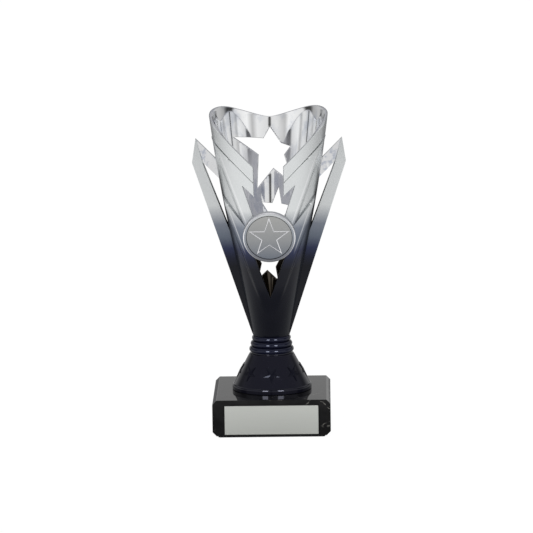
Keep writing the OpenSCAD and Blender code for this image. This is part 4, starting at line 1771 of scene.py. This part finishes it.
def make_world():
    """White to the camera. Everything else sees a studio that is darker at the sides."""
    world = bpy.data.worlds.new("studio")
    bpy.context.scene.world = world
    world.use_nodes = True
    tree = world.node_tree
    tree.nodes.clear()
    direction = add(tree, "ShaderNodeTexCoord").outputs["Generated"]
    height = parts_of(tree, direction)["Z"]
    turn = share_of_turn(tree, direction)
    low = map_range(tree, height, 0.18, 0.32, 1.0, 0.0, smooth=True)
    back = blend(tree, low, full(0), colour_ramp(tree, turn, BACK_TURN))
    walls = join_vectors(tree, "ADD", colour_ramp(tree, turn, STUDIO_TURN), back)
    middle = map_range(tree, height, 0.33, 0.46, smooth=True)
    high = map_range(tree, height, 0.80, 0.92, smooth=True)
    room = blend(tree, middle, walls, full((0.42, 0.42, 0.45)))
    room = blend(tree, high, room, full(0.95))
    kind = "ShaderNodeBackground"
    camera_sees(tree, glow(tree, kind, room), glow(tree, kind, full(1)), "ShaderNodeOutputWorld")


def floor_shader(tree):
    """Lights the trophy from below, and looks near white with a trace of shadow."""
    place = coordinates(tree)
    reach = add(tree, "ShaderNodeVectorMath", {0: place}, operation="LENGTH").outputs["Value"]
    near = map_range(tree, reach, 0.09, 0.21, 0.3, 1.28, smooth=True)
    far = map_range(tree, reach, 0.42, 0.80, 1.0, 0.60, smooth=True)
    power = maths(tree, "MULTIPLY", near, far)
    sweep = colour_ramp(tree, share_of_turn(tree, place), FLOOR_TURN)
    sheet = glow(tree, "ShaderNodeEmission", sweep, power)
    shade = add(tree, "ShaderNodeBsdfDiffuse", {"Color": full(0.25)}).outputs[0]
    lit = add(tree, "ShaderNodeAddShader", {0: sheet, 1: shade}).outputs[0]
    pale = add(tree, "ShaderNodeBsdfDiffuse", {"Color": full(0.9)}).outputs[0]
    white = glow(tree, "ShaderNodeEmission", full(1), 1.03)
    shown = add(tree, "ShaderNodeMixShader", {0: 0.96, 1: pale, 2: white}).outputs[0]
    camera_sees(tree, lit, shown, "ShaderNodeOutputMaterial")


def make_floor():
    half_side, sunk = 8, 0.0002
    bm = bmesh.new()
    bmesh.ops.create_grid(bm, x_segments=1, y_segments=1, size=half_side)
    bmesh.ops.translate(bm, vec=UP * -sunk, verts=bm.verts)
    mesh = bpy.data.meshes.new("floor")
    bm.to_mesh(mesh)
    bm.free()
    floor = bpy.data.objects.new("floor", mesh)
    bpy.context.scene.collection.objects.link(floor)
    material = bpy.data.materials.new("pale_floor")
    material.use_nodes = True
    material.node_tree.nodes.clear()
    floor_shader(material.node_tree)
    mesh.materials.append(material)


def make_stage(stage):
    make_camera(stage)
    make_world()
    make_floor()
    lit = gloss_pieces()
    add_soft_box("soft_box_left", -19, 0.32, stage.soft_box, lit)
    add_soft_box("soft_box_right", 26, 0.34, stage.soft_box, lit)
    bpy.context.scene.view_settings.view_transform = "Standard"


# ---------------------------------------------------------------- operators


class TrophyOperator:
    """What the trophy's operators share."""

    bl_options = {"REGISTER", "UNDO"}


class TROPHY_OT_base(TrophyOperator, bpy.types.Operator):
    """Build the marble base, its felt and its engraving plate"""

    bl_idname = "trophy.base"
    bl_label = "Base, felt and plate"

    def execute(self, context):
        make_base(context.scene.trophy_base)
        return {"FINISHED"}


class TROPHY_OT_riser(TrophyOperator, bpy.types.Operator):
    """Build the flared riser with its raised stars"""

    bl_idname = "trophy.riser"
    bl_label = "Riser"

    def execute(self, context):
        make_riser(context.scene.trophy_riser)
        return {"FINISHED"}


class TROPHY_OT_collar(TrophyOperator, bpy.types.Operator):
    """Build the ringed collar between the riser and the cup"""

    bl_idname = "trophy.collar"
    bl_label = "Collar"

    def execute(self, context):
        make_collar(context.scene.trophy_collar)
        return {"FINISHED"}


class TROPHY_OT_cup(TrophyOperator, bpy.types.Operator):
    """Build the cup with its V front, windows, blades and star cut-outs"""

    bl_idname = "trophy.cup"
    bl_label = "Cup"

    def execute(self, context):
        make_cup(context.scene.trophy_cup)
        return {"FINISHED"}


class TROPHY_OT_wings(TrophyOperator, bpy.types.Operator):
    """Build the left and the right wing"""

    bl_idname = "trophy.wings"
    bl_label = "Wings"

    def execute(self, context):
        sizes = context.scene.trophy_wings
        make_wing(sizes, -1, "left_wing", "wing_left")
        make_wing(sizes, 1, "right_wing", "wing_right")
        return {"FINISHED"}


class TROPHY_OT_medal(TrophyOperator, bpy.types.Operator):
    """Build the medal and the holder that it sits in"""

    bl_idname = "trophy.medal"
    bl_label = "Medal and holder"

    def execute(self, context):
        make_medal(context.scene.trophy_medal)
        return {"FINISHED"}


class TROPHY_OT_fixings(TrophyOperator, bpy.types.Operator):
    """Build the threaded rod, the nuts and the washers"""

    bl_idname = "trophy.fixings"
    bl_label = "Rod, nuts and washers"

    def execute(self, context):
        sizes = context.scene.trophy_fixings
        make_rod(sizes)
        for place in ("top", "bottom"):
            make_nut(sizes, f"hex_nut_{place}", f"{place}_nut")
            make_washer(sizes, f"flat_washer_{place}", f"{place}_washer")
        return {"FINISHED"}


class TROPHY_OT_stage(TrophyOperator, bpy.types.Operator):
    """Set up the floor, the lights and the camera"""

    bl_idname = "trophy.stage"
    bl_label = "Stage"

    def execute(self, context):
        make_stage(context.scene.trophy_stage)
        return {"FINISHED"}


class TROPHY_PT_panel(bpy.types.Panel):
    """Lists the trophy's operators"""

    bl_label = "Column Trophy"
    bl_idname = "TROPHY_PT_panel"
    bl_space_type = "VIEW_3D"
    bl_region_type = "UI"
    bl_category = "Trophy"

    def draw(self, context):
        for operator in OPERATORS:
            self.layout.operator(operator.bl_idname)


SETTINGS = {
    "trophy_base": BaseSizes,
    "trophy_riser": RiserSizes,
    "trophy_collar": CollarSizes,
    "trophy_cup": CupSizes,
    "trophy_wings": WingSizes,
    "trophy_medal": MedalSizes,
    "trophy_fixings": FixingSizes,
    "trophy_finishes": Finishes,
    "trophy_stage": StageSettings,
}
OPERATORS = (
    TROPHY_OT_base,
    TROPHY_OT_riser,
    TROPHY_OT_collar,
    TROPHY_OT_cup,
    TROPHY_OT_wings,
    TROPHY_OT_medal,
    TROPHY_OT_fixings,
    TROPHY_OT_stage,
)


def register():
    for group in (*SETTINGS.values(), *OPERATORS, TROPHY_PT_panel):
        bpy.utils.register_class(group)
    for name, group in SETTINGS.items():
        setattr(bpy.types.Scene, name, bpy.props.PointerProperty(type=group))


def unregister():
    for name in SETTINGS:
        delattr(bpy.types.Scene, name)
    for group in reversed((*SETTINGS.values(), *OPERATORS, TROPHY_PT_panel)):
        bpy.utils.unregister_class(group)


def main():
    register()
    make_groups()
    for step in ("base", "riser", "collar", "cup", "wings", "medal", "fixings", "stage"):
        getattr(bpy.ops.trophy, step)()


if __name__ == "__main__":
    main()
